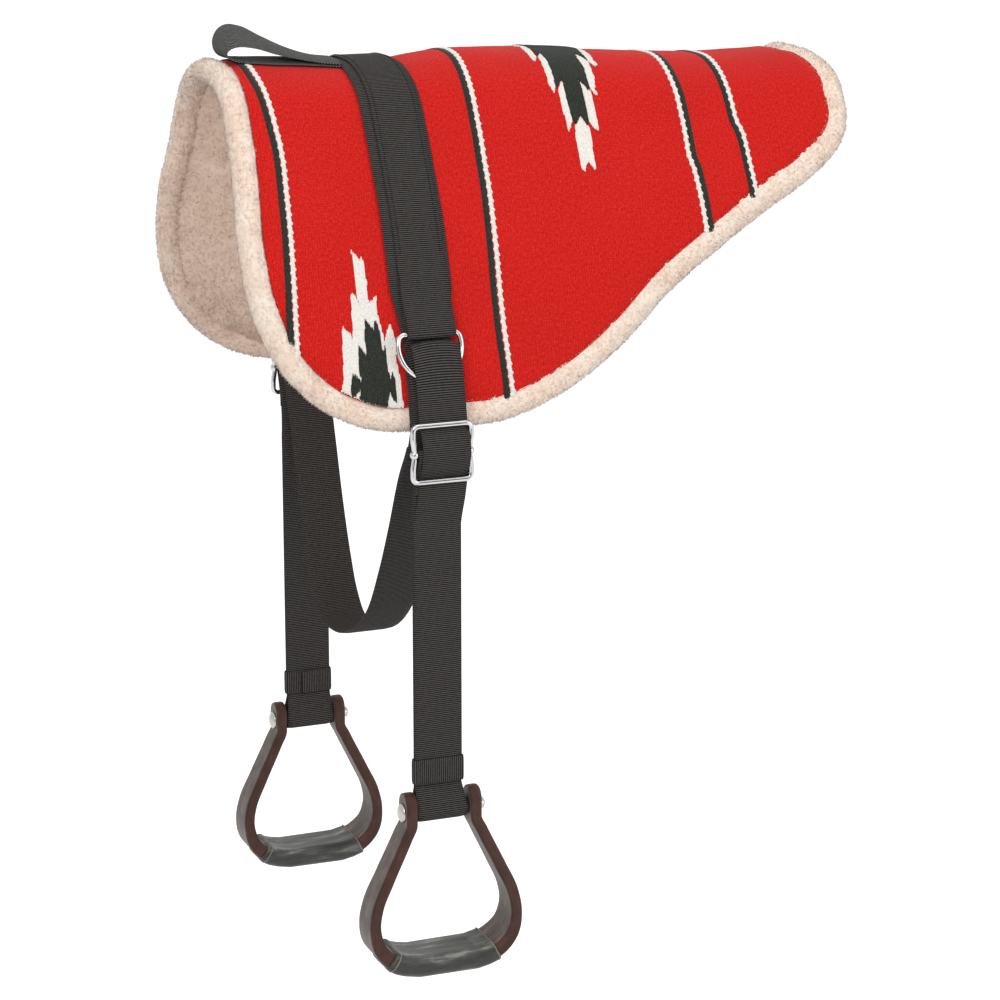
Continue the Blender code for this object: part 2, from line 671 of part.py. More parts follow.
def stirrup_spine():
    """The frame's centre line from the left arm's top round to the right arm's, with its depth."""
    neck = (NECK_GAP + ARM_THICK) / 2
    side = [(mix(neck, STIRRUP_HALF_WIDTH, spread), -STIRRUP_DROP * drop)
            for spread, drop in zip(SIDE_SPREAD_SHARES, SIDE_DROP_SHARES)]
    side.append((STIRRUP_HALF_WIDTH * TURN_REACH_SHARE, -STIRRUP_DROP * TURN_DROP_SHARE))
    side.append((TREAD_FLAT_HALF, -STIRRUP_DROP))
    path = smooth_path(side, 3, behind=(0, -STIRRUP_DROP))
    shares = [through(DEPTH_SHARES, step / (len(path) - 1)) for step in range(len(path))]
    depths = [mix(NECK_DEPTH, TREAD_DEPTH, share) for share in shares]
    thicks = [mix(ARM_THICK, TREAD_THICK, 2 * max(0, share - 1 / 2)) for share in shares]
    return path, depths, thicks


def arm_top_sections(path, depths, thicks):
    """Rounds the top of an arm: extra sections whose depth closes along a half circle."""
    round_radius = NECK_DEPTH / 2
    top = Vector((path[0].x, ARM_TOP))
    heads, head_depths, head_thicks = [], [], []
    for share in ARM_TOP_SHARES:
        sunk = round_radius * share
        heads.append(top - Vector((0, sunk)))
        head_depths.append(2 * math.sqrt(round_radius ** 2 - (round_radius - sunk) ** 2))
        head_thicks.append(ARM_THICK * mix(ARM_TIP_SHARE, 1, min(1, 2 * share)))
    first = next(index for index, point in enumerate(path) if point.y < top.y - round_radius)
    return heads + path[first:], head_depths + depths[first:], head_thicks + thicks[first:]


def rounded_section(thickness, depth, radius):
    """A rounded rectangle as (across, along depth) points, three to a corner."""
    radius = min(radius, thickness / 2.2, depth / 2.2)
    points = []
    for quarter, (sx, sy) in enumerate(((1, 1), (-1, 1), (-1, -1), (1, -1))):
        for step in range(3):
            angle = math.radians(90 * quarter + 45 * step)
            points.append((sx * (thickness / 2 - radius) + radius * math.cos(angle),
                           sy * (depth / 2 - radius) + radius * math.sin(angle)))
    return points


def loft_mesh(path, sections, capped=True):
    """A skin over sections that stand square to a path in the X-Z plane."""
    loft = bmesh.new()
    loops = []
    for index, (point, section) in enumerate(zip(path, sections)):
        before, after = path[max(index - 1, 0)], path[min(index + 1, len(path) - 1)]
        along = (after - before).normalized()
        across = Vector((-along.y, along.x))
        loops.append([loft.verts.new((point.x + across.x * a, d, point.y + across.y * a))
                      for a, d in section])
    for first, second in zip(loops, loops[1:]):
        for index in range(len(first)):
            after = (index + 1) % len(first)
            loft.faces.new((first[index], first[after], second[after], second[index]))
    if capped:
        loft.faces.new(loops[0])
        loft.faces.new(loops[-1][::-1])
    mesh = bpy.data.meshes.new("loft")
    loft.to_mesh(mesh)
    loft.free()
    return mesh


def whole_spine(path, depths, thicks):
    """Mirrors half of the frame's line, its depths and its thicknesses into the whole."""
    left = [Vector((-point.x, point.y)) for point in path]
    return left + path[::-1], depths + depths[::-1], thicks + thicks[::-1]


def frame_mesh():
    path, depths, thicks = whole_spine(*arm_top_sections(*stirrup_spine()))
    sections = [rounded_section(thick, depth, FRAME_EDGE_ROUND)
                for thick, depth in zip(thicks, depths)]
    return loft_mesh(path, sections)


def cover_mesh():
    """The leather round the tread, as a sleeve with the frame's own section inside it."""
    path, depths, thicks = whole_spine(*stirrup_spine())
    kept = [index for index, point in enumerate(path)
            if abs(point.x) <= COVER_HALF_SPAN and point.y < -STIRRUP_DROP * SIDE_DROP_SHARES[-1]]
    grow = 2 * SEAT_GAP
    edge = FRAME_EDGE_ROUND + grow / 2
    sections = [rounded_section(thicks[index] + grow, depths[index] + grow, edge)
                for index in kept]
    sleeve = loft_mesh([path[index] for index in kept], sections, capped=False)
    outward = bmesh.new()
    outward.from_mesh(sleeve)
    bmesh.ops.recalc_face_normals(outward, faces=outward.faces)
    outward.to_mesh(sleeve)
    outward.free()
    settings = {"thickness": LEATHER_THICK, "offset": 1, "use_even_offset": True}
    return baked(sleeve, [("SOLIDIFY", settings)])


def keeper_mesh(place):
    """A webbing loop round the strap's layers, lapped and sewn on the horse's side."""
    inner = place.keeper.x - LAYER - WEB_THICK / 2 - SEAT_GAP - KEEPER_THICK / 2
    outer = place.keeper.x + LAYER + WEB_THICK / 2 + SEAT_GAP + KEEPER_THICK / 2
    half = STRAP_WIDTH / 2 + SOFT_GAP + KEEPER_THICK / 2
    lap = inner - KEEPER_THICK - SEAT_GAP
    start = KEEPER_LAP / 2
    points = [(start, inner)]
    for x, out, turn_x, turn_out in ((-half, inner, 1, 1), (-half, outer, 1, -1),
                                     (half, outer, -1, -1), (half, inner, -1, 1)):
        along, up = turn_x * KEEPER_THICK, turn_out * KEEPER_THICK
        corner = [(x + along, out), (x + along / 3, out + up / 3), (x, out + up)]
        points += corner if turn_x == turn_out else corner[::-1]
    points += [(start + 3 * KEEPER_THICK, inner), (start + KEEPER_THICK / 2, lap), (-start, lap)]
    low = place.keeper.y - KEEPER_HEIGHT / 2

    def spot(column, row):
        x, out = points[row]
        return x, place.side * out, low + KEEPER_HEIGHT * column

    settings = {"thickness": KEEPER_THICK, "offset": 0, "use_even_offset": True}
    return baked(grid_mesh(1, len(points) - 1, spot), [("SOLIDIFY", settings)])


def add_axis(name, point, parent, collection):
    """An empty on a joint's axis that carries the pieces that move on it."""
    empty = bpy.data.objects.new(name, None)
    collection.objects.link(empty)
    empty.empty_display_size = RING_RADIUS
    if parent:
        empty.parent = parent
        point = point - parent.matrix_world.translation
    empty.location = point
    bpy.context.view_layer.update()
    return empty


def attach(item, axis):
    """Parents a piece to its axis without moving it."""
    bpy.context.view_layer.update()
    item.parent = axis
    item.location = item.location - axis.matrix_world.translation


def make_ring(name, place, materials, collection, axis):
    origin = place.world(place.bar)
    mesh = tube_mesh(ring_points(place), RING_WIRE)
    item = make_mesh(name + "_ring", mesh, materials["steel"], collection, origin, smooth=True)
    attach(item, axis)


def make_slide(name, place, materials, collection, cutters, axis):
    """The slide's wire frame and its centre bar, whose ball ends grip the frame's sides."""
    origin = place.world(place.slide)
    frame = make_mesh(name + "_slide_frame", tube_mesh(slide_points(place), SLIDE_WIRE),
                      materials["chrome"], collection, origin, smooth=True)
    half = SLIDE_HALF_WIDTH - SLIDE_PINCH
    profile = [(half + SLIDE_BALL, 0)]
    for step in range(1, 5):
        angle = math.radians(90 * step / 4)
        profile.append((half + SLIDE_BALL * math.cos(angle), SLIDE_BALL * math.sin(angle)))
    profile += [(half - SLIDE_BALL * inward, SLIDE_BALL * radius) for inward, radius in BALL_NECK_SHARES]
    profile += [(-x, radius) for x, radius in profile[::-1]]
    bar = turned_mesh(profile, 16)
    bar.transform(Matrix.Translation(origin))
    item = make_mesh(name + "_slide_bar", bar, materials["chrome"], collection, origin, smooth=True)
    for tag, x in (("front", -half), ("rear", half)):
        centre = place.world(place.slide, x)
        bore = SLIDE_WIRE + SEAT_GAP
        cut(item, make_cutter(name + "_slide_" + tag + "_bore", bore, 2 * SLIDE_BALL, centre,
                              cutters, "Z"))
    attach(frame, axis)
    attach(item, axis)


def make_stirrup(name, place, materials, collection, cutters, strap_axis, bolt_axis):
    """The bent frame with its leather tread cover, bolt and nut, and the sleeve in the strap."""
    origin = place.world(place.bolt)
    shift = Matrix.Translation(origin)
    frame = frame_mesh()
    frame.transform(shift)
    arm_out = NECK_GAP / 2 + ARM_THICK
    item = make_mesh(name + "_stirrup_frame", frame, materials["wood"], collection, origin,
                     smooth=True)
    cut(item, make_cutter(name + "_stirrup_bore", BOLT_RADIUS + BORE_EASE, arm_out + CUT_OVERRUN,
                          origin, cutters))
    cover = cover_mesh()
    cover.transform(shift)
    leather = make_mesh(name + "_tread_cover", cover, materials["leather"], collection, origin,
                        smooth=True)

    seat = arm_out + SEAT_GAP
    head = [(-seat - BOLT_HEAD_HEIGHT, 0)]
    for step in range(1, 5):
        angle = math.radians(90 * step / 5)
        rise, reach = BOLT_HEAD_HEIGHT * math.cos(angle), BOLT_HEAD_RADIUS * math.sin(angle)
        head.append((-seat - rise, reach))
    head += [(-seat - BOLT_HEAD_HEIGHT * HEAD_RIM_SHARE, BOLT_HEAD_RADIUS),
             (-seat, BOLT_HEAD_RADIUS), (-seat, BOLT_RADIUS)]
    tip = seat + NUT_HEIGHT + BOLT_END
    head += [(tip - BOLT_RADIUS / 2, BOLT_RADIUS), (tip, BOLT_RADIUS / 2), (tip, 0)]

    bore, wall, half = BOLT_RADIUS + BORE_EASE, SLEEVE_RADIUS, NECK_GAP / 2 - SEAT_GAP
    ring = [(half, bore), (half, wall), (-half, wall), (-half, bore), (half, bore)]
    straight, narrow = NUT_ROUND_SHARES
    nut = [(seat, bore), (seat, NUT_RADIUS), (seat + NUT_HEIGHT * straight, NUT_RADIUS),
           (seat + NUT_HEIGHT, NUT_RADIUS * narrow), (seat + NUT_HEIGHT, bore), (seat, bore)]
    attach(item, bolt_axis)
    attach(leather, bolt_axis)
    for suffix, mesh, finish, axis in (("_stirrup_bolt", turned_mesh(head), "nickel", bolt_axis),
                                       ("_bolt_sleeve", turned_mesh(ring, 24), "steel", strap_axis),
                                       ("_bolt_nut", turned_mesh(nut), "nickel", bolt_axis)):
        mesh.transform(shift)
        attach(make_mesh(name + suffix, mesh, materials[finish], collection, origin), axis)


def make_side(name, side, materials, collection, cutters):
    """Everything that hangs on one side of the pad, each moving piece on its own axis."""
    place = HangingSide(side, FAR_LET_OUT if side > 0 else 0)
    ring_axis = add_axis(name + "_ring_axis", place.world(place.bar), None, collection)
    hang = place.world(place.centre, -RING_FORWARD)
    strap_axis = add_axis(name + "_strap_axis", hang, ring_axis, collection)
    bolt_axis = add_axis(name + "_bolt_axis", place.world(place.bolt), strap_axis, collection)
    make_ring(name, place, materials, collection, ring_axis)

    path = [Vector((side * point.x, point.y)) for point in strap_path(place)]
    solid = strip_mesh(path, [STRAP_WIDTH] * len(path))
    strap = make_mesh(name + "_stirrup_strap", solid, materials["webbing"], collection, hang)
    attach(strap, strap_axis)
    make_slide(name, place, materials, collection, cutters, strap_axis)
    keeper = make_mesh(name + "_strap_keeper", keeper_mesh(place), materials["webbing"],
                       collection, place.world(place.keeper))
    attach(keeper, strap_axis)
    make_stirrup(name, place, materials, collection, cutters, strap_axis, bolt_axis)


def make_materials():
    return {
        "blanket": make_material("red_woven_blanket", (0.62, 0.015, 0.012), 0.95),
        "core": make_material("felt_core", (0.35, 0.33, 0.31), 0.98),
        "fleece": make_material("beige_fleece", (0.60, 0.45, 0.34), 1.0),
        "binding": make_material("cream_fleece", (0.82, 0.70, 0.60), 1.0),
        "webbing": make_material("black_webbing", (0.035, 0.032, 0.030), 0.7),
        "handle": make_material("grey_webbing", (0.09, 0.09, 0.088), 0.75),
        "wood": make_material("dark_stained_wood", (0.075, 0.032, 0.024), 0.45),
        "leather": make_material("black_leather", (0.06, 0.058, 0.055), 0.5),
        "chrome": make_material("chrome_wire", (0.80, 0.80, 0.80), 0.12, 1.0),
        "steel": make_material("plated_steel", (0.75, 0.75, 0.74), 0.2, 1.0),
        "nickel": make_material("nickel_bolt", (0.62, 0.60, 0.55), 0.3, 1.0),
    }


def main():
    clear_scene()
    collection = make_collection("bareback_pad")
    cutters = make_collection("cutters", hidden=True)
    materials = make_materials()

    core_top = BLANKET_THICK + SOFT_GAP
    fleece_top = core_top + CORE_THICK + SOFT_GAP
    pad_layer("blanket_top", 0, BLANKET_THICK, layer_inset(0, BLANKET_THICK),
              materials["blanket"], collection)
    pad_layer("felt_core", core_top, CORE_THICK, layer_inset(core_top, fleece_top),
              materials["core"], collection)
    pad_layer("fleece_lining", fleece_top, FLEECE_THICK, layer_inset(fleece_top, PAD_THICK),
              materials["fleece"], collection)
    make_binding(materials["binding"], collection)
    make_surcingle(materials["webbing"], collection)
    make_girth(materials["webbing"], collection)
    make_rigging(materials["webbing"], collection)
    make_handle(materials["handle"], collection)
    for name, side in SIDES:
        make_side(name, side, materials, collection, cutters)


main()
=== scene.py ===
"""Bareback pad, dressed as it looks: woven blanket, fleece, webbing, metal and bent wood.

Each piece is made again in fine mesh in the place of its plain solid. Sizes shared with the
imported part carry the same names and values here. X runs toward the horse's tail, Y toward
its right side and Z up, in metres.
"""

import math

import bmesh
import bpy
import numpy as np
from mathutils import Matrix, Vector, noise


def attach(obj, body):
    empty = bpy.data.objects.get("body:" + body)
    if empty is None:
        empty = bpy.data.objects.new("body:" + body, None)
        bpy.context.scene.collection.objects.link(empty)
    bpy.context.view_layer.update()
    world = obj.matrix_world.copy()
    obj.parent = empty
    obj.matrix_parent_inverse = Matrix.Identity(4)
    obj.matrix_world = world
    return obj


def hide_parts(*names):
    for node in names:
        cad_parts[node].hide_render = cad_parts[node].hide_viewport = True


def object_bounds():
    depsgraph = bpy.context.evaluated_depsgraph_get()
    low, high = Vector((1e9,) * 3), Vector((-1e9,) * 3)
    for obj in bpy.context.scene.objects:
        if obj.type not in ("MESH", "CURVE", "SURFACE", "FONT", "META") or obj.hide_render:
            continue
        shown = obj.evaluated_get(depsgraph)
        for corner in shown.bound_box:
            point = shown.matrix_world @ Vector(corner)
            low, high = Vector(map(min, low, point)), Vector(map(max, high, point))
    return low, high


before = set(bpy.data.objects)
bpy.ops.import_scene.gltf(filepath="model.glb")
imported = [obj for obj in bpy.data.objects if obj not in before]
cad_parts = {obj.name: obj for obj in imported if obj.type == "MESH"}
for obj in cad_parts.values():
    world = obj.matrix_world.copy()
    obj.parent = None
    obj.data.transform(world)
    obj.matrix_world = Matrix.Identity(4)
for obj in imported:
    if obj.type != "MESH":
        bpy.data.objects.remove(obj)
cad_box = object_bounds()

SIDES = (("near", -1), ("far", 1))
TURN = 2 * math.pi

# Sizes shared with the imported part
SEAT_GAP = 0.0003
SOFT_GAP = 0.0006
WEB_THICK = 0.0022
STRAP_WIDTH = 0.0490
BAND_WIDTH = 0.0635
BAND_FORWARD = 0.0025
LAYER = WEB_THICK + SEAT_GAP
PAD_ARC = 0.4207
PAD_FRONT = 0.168
PAD_REAR = 0.484
PAD_HALF_WIDTH = 0.2008
PAD_DROP = 0.3340
BLANKET_THICK = 0.0030
CORE_THICK = 0.0094
FLEECE_THICK = 0.0080
PAD_THICK = BLANKET_THICK + CORE_THICK + FLEECE_THICK + 2 * SOFT_GAP
BINDING_RADIUS = 0.0115
SECTION_OUT_SHARES = (0, 0.203, 0.383, 0.501, 0.602, 0.700, 0.778, 0.844, 0.907, 0.961, 1)
SECTION_DROP_SHARES = (0, 0.014, 0.073, 0.176, 0.286, 0.397, 0.514, 0.634, 0.754, 0.876, 1)
FRONT_EDGE_SHARES = (1, 1.003, 1.018, 1.048, 1.012, 0.893, 0.696, 0.443, 0.18)
REAR_EDGE_SHARES = (1, 1.028, 0.994, 0.762, 0.564, 0.439, 0.320, 0.204, 0.103)
SPINE_SWAY = 0.008
FRONT_SWAY_SHARES = (0, 0.4, 0.65, 0.75, 0.75)
REAR_SWAY_SHARES = (0, 1, 0.95, 0.6, 0, -0.55, -0.87, -0.75, -0.5)
BAND_FRONT = -BAND_WIDTH / 2 - BAND_FORWARD
BAND_REAR = BAND_WIDTH / 2 - BAND_FORWARD
BAND_HEIGHT = BINDING_RADIUS - PAD_THICK / 2 + SEAT_GAP + WEB_THICK / 2
RIGGING_HEIGHT = BAND_HEIGHT + LAYER
GIRTH_DROP = 0.2715
GIRTH_LAP = 0.045
GIRTH_OUT_SHARES = (-1, -0.971, -0.841, -0.689, -0.547, -0.342, -0.072, 0.193,
                    0.379, 0.499, 0.598, 0.713, 0.819, 0.916, 0.981, 1)
GIRTH_DROP_SHARES = (0, 0.057, 0.204, 0.425, 0.611, 0.820, 0.952, 1,
                     0.989, 0.912, 0.783, 0.580, 0.348, 0.145, 0.042, 0)
HANDLE_FRONT = 0.149
HANDLE_BACK = 0.0005
HANDLE_RISE = 0.0235
HANDLE_LEAN = 0.39
HANDLE_REACH_SHARES = (0, 0.3, 0.6, 0.82, 0.93, 0.985, 1.0, 0.965, 0.90, 0.78, 0.60, 0.38, 0.18, 0)
HANDLE_RISE_SHARES = (0, 0, 0, 0, 0.06, 0.25, 0.52, 0.84, 1.0, 0.97, 0.66, 0.32, 0.14, 0.115)
RING_WIRE = 0.0030
RING_RADIUS = STRAP_WIDTH / 2 + 0.0080
RING_BAR_HALF = STRAP_WIDTH / 2 + 0.0055
RING_FORWARD = 0.0022
RING_CORNER = 0.0030
RING_PLACE = 0.3293
RIGGING_RETURN = 0.048
RING_FOLD = RING_WIRE + SEAT_GAP + WEB_THICK / 2
STRAP_CLEAR = 0.0026
BOLT_BELOW_RING = 0.4800
FAR_LET_OUT = 0.032
FOLD_SLACK = 0.005
SLIDE_BELOW_RING = 0.1125
SLIDE_HALF_HEIGHT = 0.0278
SLIDE_HALF_WIDTH = STRAP_WIDTH / 2 + 0.0055
SLIDE_PINCH = 0.0015
SLIDE_WIRE = 0.0025
SLIDE_BAR = 0.0022
SLIDE_BALL = 0.0046
SEWN_RETURN = 0.042
TAIL_ABOVE_BOLT = 0.034
KEEPER_HEIGHT = 0.0254
KEEPER_ABOVE_BOLT = 0.042
KEEPER_THICK = 0.0016
KEEPER_LAP = 0.018
NECK_GAP = STRAP_WIDTH + 0.0076
ARM_THICK = 0.0118
ARM_TOP = 0.0205
STIRRUP_HALF_WIDTH = 0.0757
STIRRUP_DROP = 0.158
TREAD_THICK = 0.016
NECK_DEPTH = 0.027
TREAD_DEPTH = 0.049
TREAD_FLAT_HALF = 0.030
FRAME_EDGE_ROUND = 0.0028
SIDE_SPREAD_SHARES = (0, 0, 0, 0.14, 0.61, 0.92, 1, 0.875)
SIDE_DROP_SHARES = (-0.13, 0.048, 0.066, 0.15, 0.408, 0.592, 0.718, 0.861)
TURN_REACH_SHARE = 0.72
TURN_DROP_SHARE = 0.957
DEPTH_SHARES = (0, 0, 0.02, 0.10, 0.24, 0.40, 0.68, 0.95, 1)
LEATHER_THICK = 0.0026
COVER_HALF_SPAN = 0.062
BOLT_RADIUS = 0.0030
BOLT_HEAD_RADIUS = 0.0097
BOLT_HEAD_HEIGHT = 0.0045
SLEEVE_RADIUS = 0.0086
NUT_RADIUS = 0.0058
NUT_HEIGHT = 0.0050
BOLT_END = 0.0022

# Fine detail that only the finished pieces have
RIB_PITCH = 0.0020
RIB_HEIGHT = 0.00022
ROWS_PER_RIB = 4
WEB_COLUMNS = 9
WEB_EDGE_ROUND = 0.55
WEB_EDGE_SHARE = 1.012
TAIL_START = 0.002
THREAD = 0.00042
STITCH_PITCH = 0.0042
STITCH_LENGTH = 0.0030
STITCH_INSET = 0.004
HANDLE_RIB_PITCH = 0.0030
HANDLE_ASIDE = 0.0100
STRAP_FLARE = 0.0042
STRAP_FLARE_HEIGHT = 0.026
STRAP_FOLD_LIFT = 0.0108
STRAP_FOLD_HOLLOW = 0.0028
STRAP_FOLD_REACH = 0.050
STRAP_FOLD_EASE = 0.02
STRAP_LOW_EASE = 0.045
STRAP_END_BACK = 0.6
FRONT_RUN_ASIDE = 0.0030
KEEPER_ASIDE = {"near": 0.0030, "far": -0.0010}
WIRE_STEP = 0.0008
SLIDE_WIRE_SEEN = 0.0028
RING_WIRE_SEEN = 0.0026
SECTION_CORNER_STEPS = 6
SECTION_FLAT_STEPS = 6
COVER_REAR_SPAN = 0.0535
COVER_EDGE_STEPS = (0.0004, 0.0012, 0.0022)
COVER_EDGE_ROUND = 0.0020
COVER_SEAM_IN = 0.0035
COVER_SEAM_OUT = 1.008
LEATHER_FOLD = 0.0013
LEATHER_CREASE = 0.0005
FOLD_STEPS = 24
AXIS = 1e-5

# The pad's layers; the roll's bumps are (height, scale per metre, seed)
OUTLINE_STEP = 0.003
SHEET_COLUMNS = 150
CORE_COLUMNS = 60
BAND_EASE = 0.02
BLANKET_INSET = 2 * BINDING_RADIUS - 0.0010
BLANKET_DIP = 0.0035
BLANKET_RIM = 0.012
BLANKET_UNEVEN = 0.0011
BLANKET_SEED = 3
CORE_INSET = 2 * BINDING_RADIUS + 0.003
CORE_UNEVEN = 0.0006
LINING_INSET = BINDING_RADIUS + 0.006
LINING_SWELL = 0.002
LINING_UNEVEN = 0.0016
LINING_SEED = 11
LINING_PILE_ROOM = 0.0022
LINING_TUFTS = 90000
LINING_TUFT = 0.0034
LINING_TUFT_WIDTH = 0.0012
ROLL_STEP = 0.0018
ROLL_FULLER = 0.0010
ROLL_WIDER = 0.38
ROLL_WIDER_FRONT = 0.04
ROLL_ANGLES = 40
ROLL_START = math.radians(-14)
# From this step round the roll, its lower side toward the horse is painted shade in the darker lining fleece
ROLL_SHADE_FROM = 23
ROLL_TUFTS = 52000
ROLL_SHADED_TUFTS = 36000
ROLL_TUFT = 0.0030
ROLL_TUFT_WIDTH = 0.0011
ROLL_BUMPS = ((0.0007, 45, 2), (0.0006, 160, 4), (0.0004, 420, 6))

# The pattern's yarns and stitches; profiles are (across, height)
WEFT_PITCH = 0.0026
WARP_PITCH = 0.0017
INLAY_LIFT = 0.0004
BLACK_RISE = 0.0008
YARN_PITCH = 0.0013
YARN_STEP = 0.0035
YARN_SHORTEST = 0.0015
YARN_RAGGED = 0.0005
YARN_WOBBLE = 0.00012
YARN_RISE = 0.00015
YARN_PROFILE = ((-0.80, -0.0008), (-0.52, 0.0001), (0, 0.0003), (0.52, 0.0001), (0.80, -0.0008))
CHAIN_PITCH = 0.0044
CHAIN_WIDTH = 0.0056
CHAIN_SLANT = 38
CHAIN_SEED = 21
LINK_PROFILE = ((1.0, -0.0009), (0.93, 0.0002), (0.62, 0.0008), (0.05, 0.0010))
STRIPE_WIDTH = 0.0066
STRIPE_STEP = 0.001
STRIPE_PROFILE = ((-0.5, -0.0010), (-0.44, 0.0001), (0, 0.0003), (0.44, 0.0001), (0.5, -0.0010))

# The camera at the photograph's place and angle, and the stage
CAMERA_YAW = math.radians(22)
CAMERA_PITCH = math.radians(14.5)
CAMERA_PLACE = (-1.053, -2.97324, 0.38232)
CAMERA_LENS = 112.93
FLOOR_BELOW = 0.25
FLOOR_REACH = 30
FLOOR_GLOW = 0.62
AMBIENT = 0.62
CARDS_PLACE = (-1.15, -3.25, 0)
CARDS_FOOT = -1.4
CARDS_HEAD = 1.3
CARDS = (("card_behind", -0.9, 0.9), ("card_left", -3.4, -2.2), ("card_right", 2.2, 3.4))
LIT_SPOT = (0.1, 0, -0.3)
LIGHTS = (("key", (-1.9, -2.4, 1.6), (1.6, 1.6), 34),
          ("fill", (1.9, -2.6, 0.2), (1.4, 1.8), 14),
          ("top", (0.2, -0.4, 2.4), (2.0, 2.0), 14))

# Stripes as lines of (X, distance from the spine), black then white
STRIPES = (
    (((-0.1345, 0), (-0.1350, 0.050), (-0.1325, 0.089), (-0.1285, 0.136), (-0.1285, 0.160),
      (-0.1310, 0.193), (-0.1335, 0.240), (-0.1365, 0.288), (-0.1390, 0.330)),
     ((-0.1285, 0), (-0.1285, 0.050), (-0.1265, 0.089), (-0.1228, 0.136), (-0.1228, 0.160),
      (-0.1252, 0.193), (-0.1280, 0.242), (-0.1305, 0.290), (-0.1345, 0.350))),
    (((0.0845, 0), (0.0832, 0.026), (0.0790, 0.088), (0.0785, 0.140), (0.0772, 0.192),
      (0.0750, 0.250), (0.0732, 0.300), (0.0732, 0.335), (0.0770, 0.402)),
     ((0.0900, 0), (0.0885, 0.028), (0.0845, 0.088), (0.0840, 0.140), (0.0828, 0.193),
      (0.0810, 0.255), (0.0795, 0.305), (0.0796, 0.335), (0.0832, 0.402))),
    (((0.3150, 0), (0.3135, 0.035), (0.3112, 0.080), (0.3122, 0.120), (0.3112, 0.166),
      (0.3145, 0.178), (0.3155, 0.215), (0.3162, 0.252)),
     ((0.3095, 0), (0.3083, 0.035), (0.3060, 0.080), (0.3068, 0.130), (0.3055, 0.166),
      (0.3085, 0.178), (0.3100, 0.216), (0.3110, 0.256))),
    (((0.3645, 0), (0.3632, 0.035), (0.3610, 0.085), (0.3620, 0.130), (0.3660, 0.140),
      (0.3675, 0.160), (0.3683, 0.214)),
     ((0.3698, 0), (0.3685, 0.035), (0.3658, 0.085), (0.3668, 0.130), (0.3712, 0.140),
      (0.3720, 0.160), (0.3725, 0.214))),
)

# Stepped feathers as outlines of (X, distance from the spine)
LOW_FEATHER_WHITE = (
    (-0.0685, 0.2445), (-0.0650, 0.2480), (-0.0620, 0.2530), (-0.0600, 0.2530), (-0.0585, 0.2490),
    (-0.0570, 0.2630), (-0.0565, 0.2765), (-0.0575, 0.2900), (-0.0560, 0.2940), (-0.0520, 0.2915),
    (-0.0485, 0.2880), (-0.0495, 0.3035), (-0.0475, 0.3165), (-0.0450, 0.3330), (-0.0415, 0.3235),
    (-0.0375, 0.3150), (-0.0355, 0.3240), (-0.0335, 0.3350), (-0.0350, 0.3520), (-0.0330, 0.3680),
    (-0.0320, 0.3895), (-0.0315, 0.4030), (-0.0950, 0.4030), (-0.0930, 0.3755), (-0.0900, 0.3655),
    (-0.0885, 0.3420), (-0.0875, 0.3280), (-0.0860, 0.3145), (-0.0830, 0.3205), (-0.0785, 0.3235),
    (-0.0770, 0.3315), (-0.0750, 0.3065), (-0.0745, 0.2910), (-0.0730, 0.2840), (-0.0695, 0.2870),
    (-0.0670, 0.2950), (-0.0680, 0.2720), (-0.0680, 0.2585))
LOW_FEATHER_BLACK = (
    (-0.0625, 0.3100), (-0.0600, 0.3150), (-0.0560, 0.3195), (-0.0550, 0.3230), (-0.0530, 0.3110),
    (-0.0505, 0.3165), (-0.0490, 0.3250), (-0.0485, 0.3370), (-0.0480, 0.3455), (-0.0455, 0.3370),
    (-0.0445, 0.3450), (-0.0445, 0.3630), (-0.0430, 0.3695), (-0.0405, 0.3630), (-0.0385, 0.3700),
    (-0.0390, 0.3835), (-0.0385, 0.3940), (-0.0420, 0.3900), (-0.0445, 0.3830), (-0.0470, 0.3905),
    (-0.0490, 0.3990), (-0.0530, 0.4020), (-0.0660, 0.4020), (-0.0705, 0.3955), (-0.0765, 0.3915),
    (-0.0765, 0.3870), (-0.0740, 0.3790), (-0.0770, 0.3805), (-0.0805, 0.3850), (-0.0840, 0.3840),
    (-0.0835, 0.3725), (-0.0810, 0.3620), (-0.0775, 0.3640), (-0.0725, 0.3695), (-0.0740, 0.3585),
    (-0.0730, 0.3480), (-0.0720, 0.3355), (-0.0685, 0.3390), (-0.0650, 0.3450), (-0.0640, 0.3340),
    (-0.0640, 0.3225))
HIGH_FEATHER_BLACK = (
    (0.1760, 0), (0.2315, 0), (0.2255, 0.0270), (0.2245, 0.0400), (0.2240, 0.0495), (0.2200, 0.0380),
    (0.2160, 0.0335), (0.2145, 0.0460), (0.2145, 0.0570), (0.2135, 0.0690), (0.2120, 0.0805),
    (0.2120, 0.0930), (0.2085, 0.0950), (0.2065, 0.0895), (0.2015, 0.0835), (0.2025, 0.0930),
    (0.2025, 0.1150), (0.2020, 0.1310), (0.2000, 0.1335), (0.1975, 0.1290), (0.1940, 0.1225),
    (0.1900, 0.1295), (0.1870, 0.1325), (0.1850, 0.1275), (0.1845, 0.1155), (0.1835, 0.1055),
    (0.1840, 0.0920), (0.1845, 0.0830), (0.1810, 0.0865), (0.1765, 0.0940), (0.1750, 0.0895),
    (0.1765, 0.0795), (0.1775, 0.0650), (0.1790, 0.0520), (0.1785, 0.0325), (0.1725, 0.0425),
    (0.1750, 0.0235))
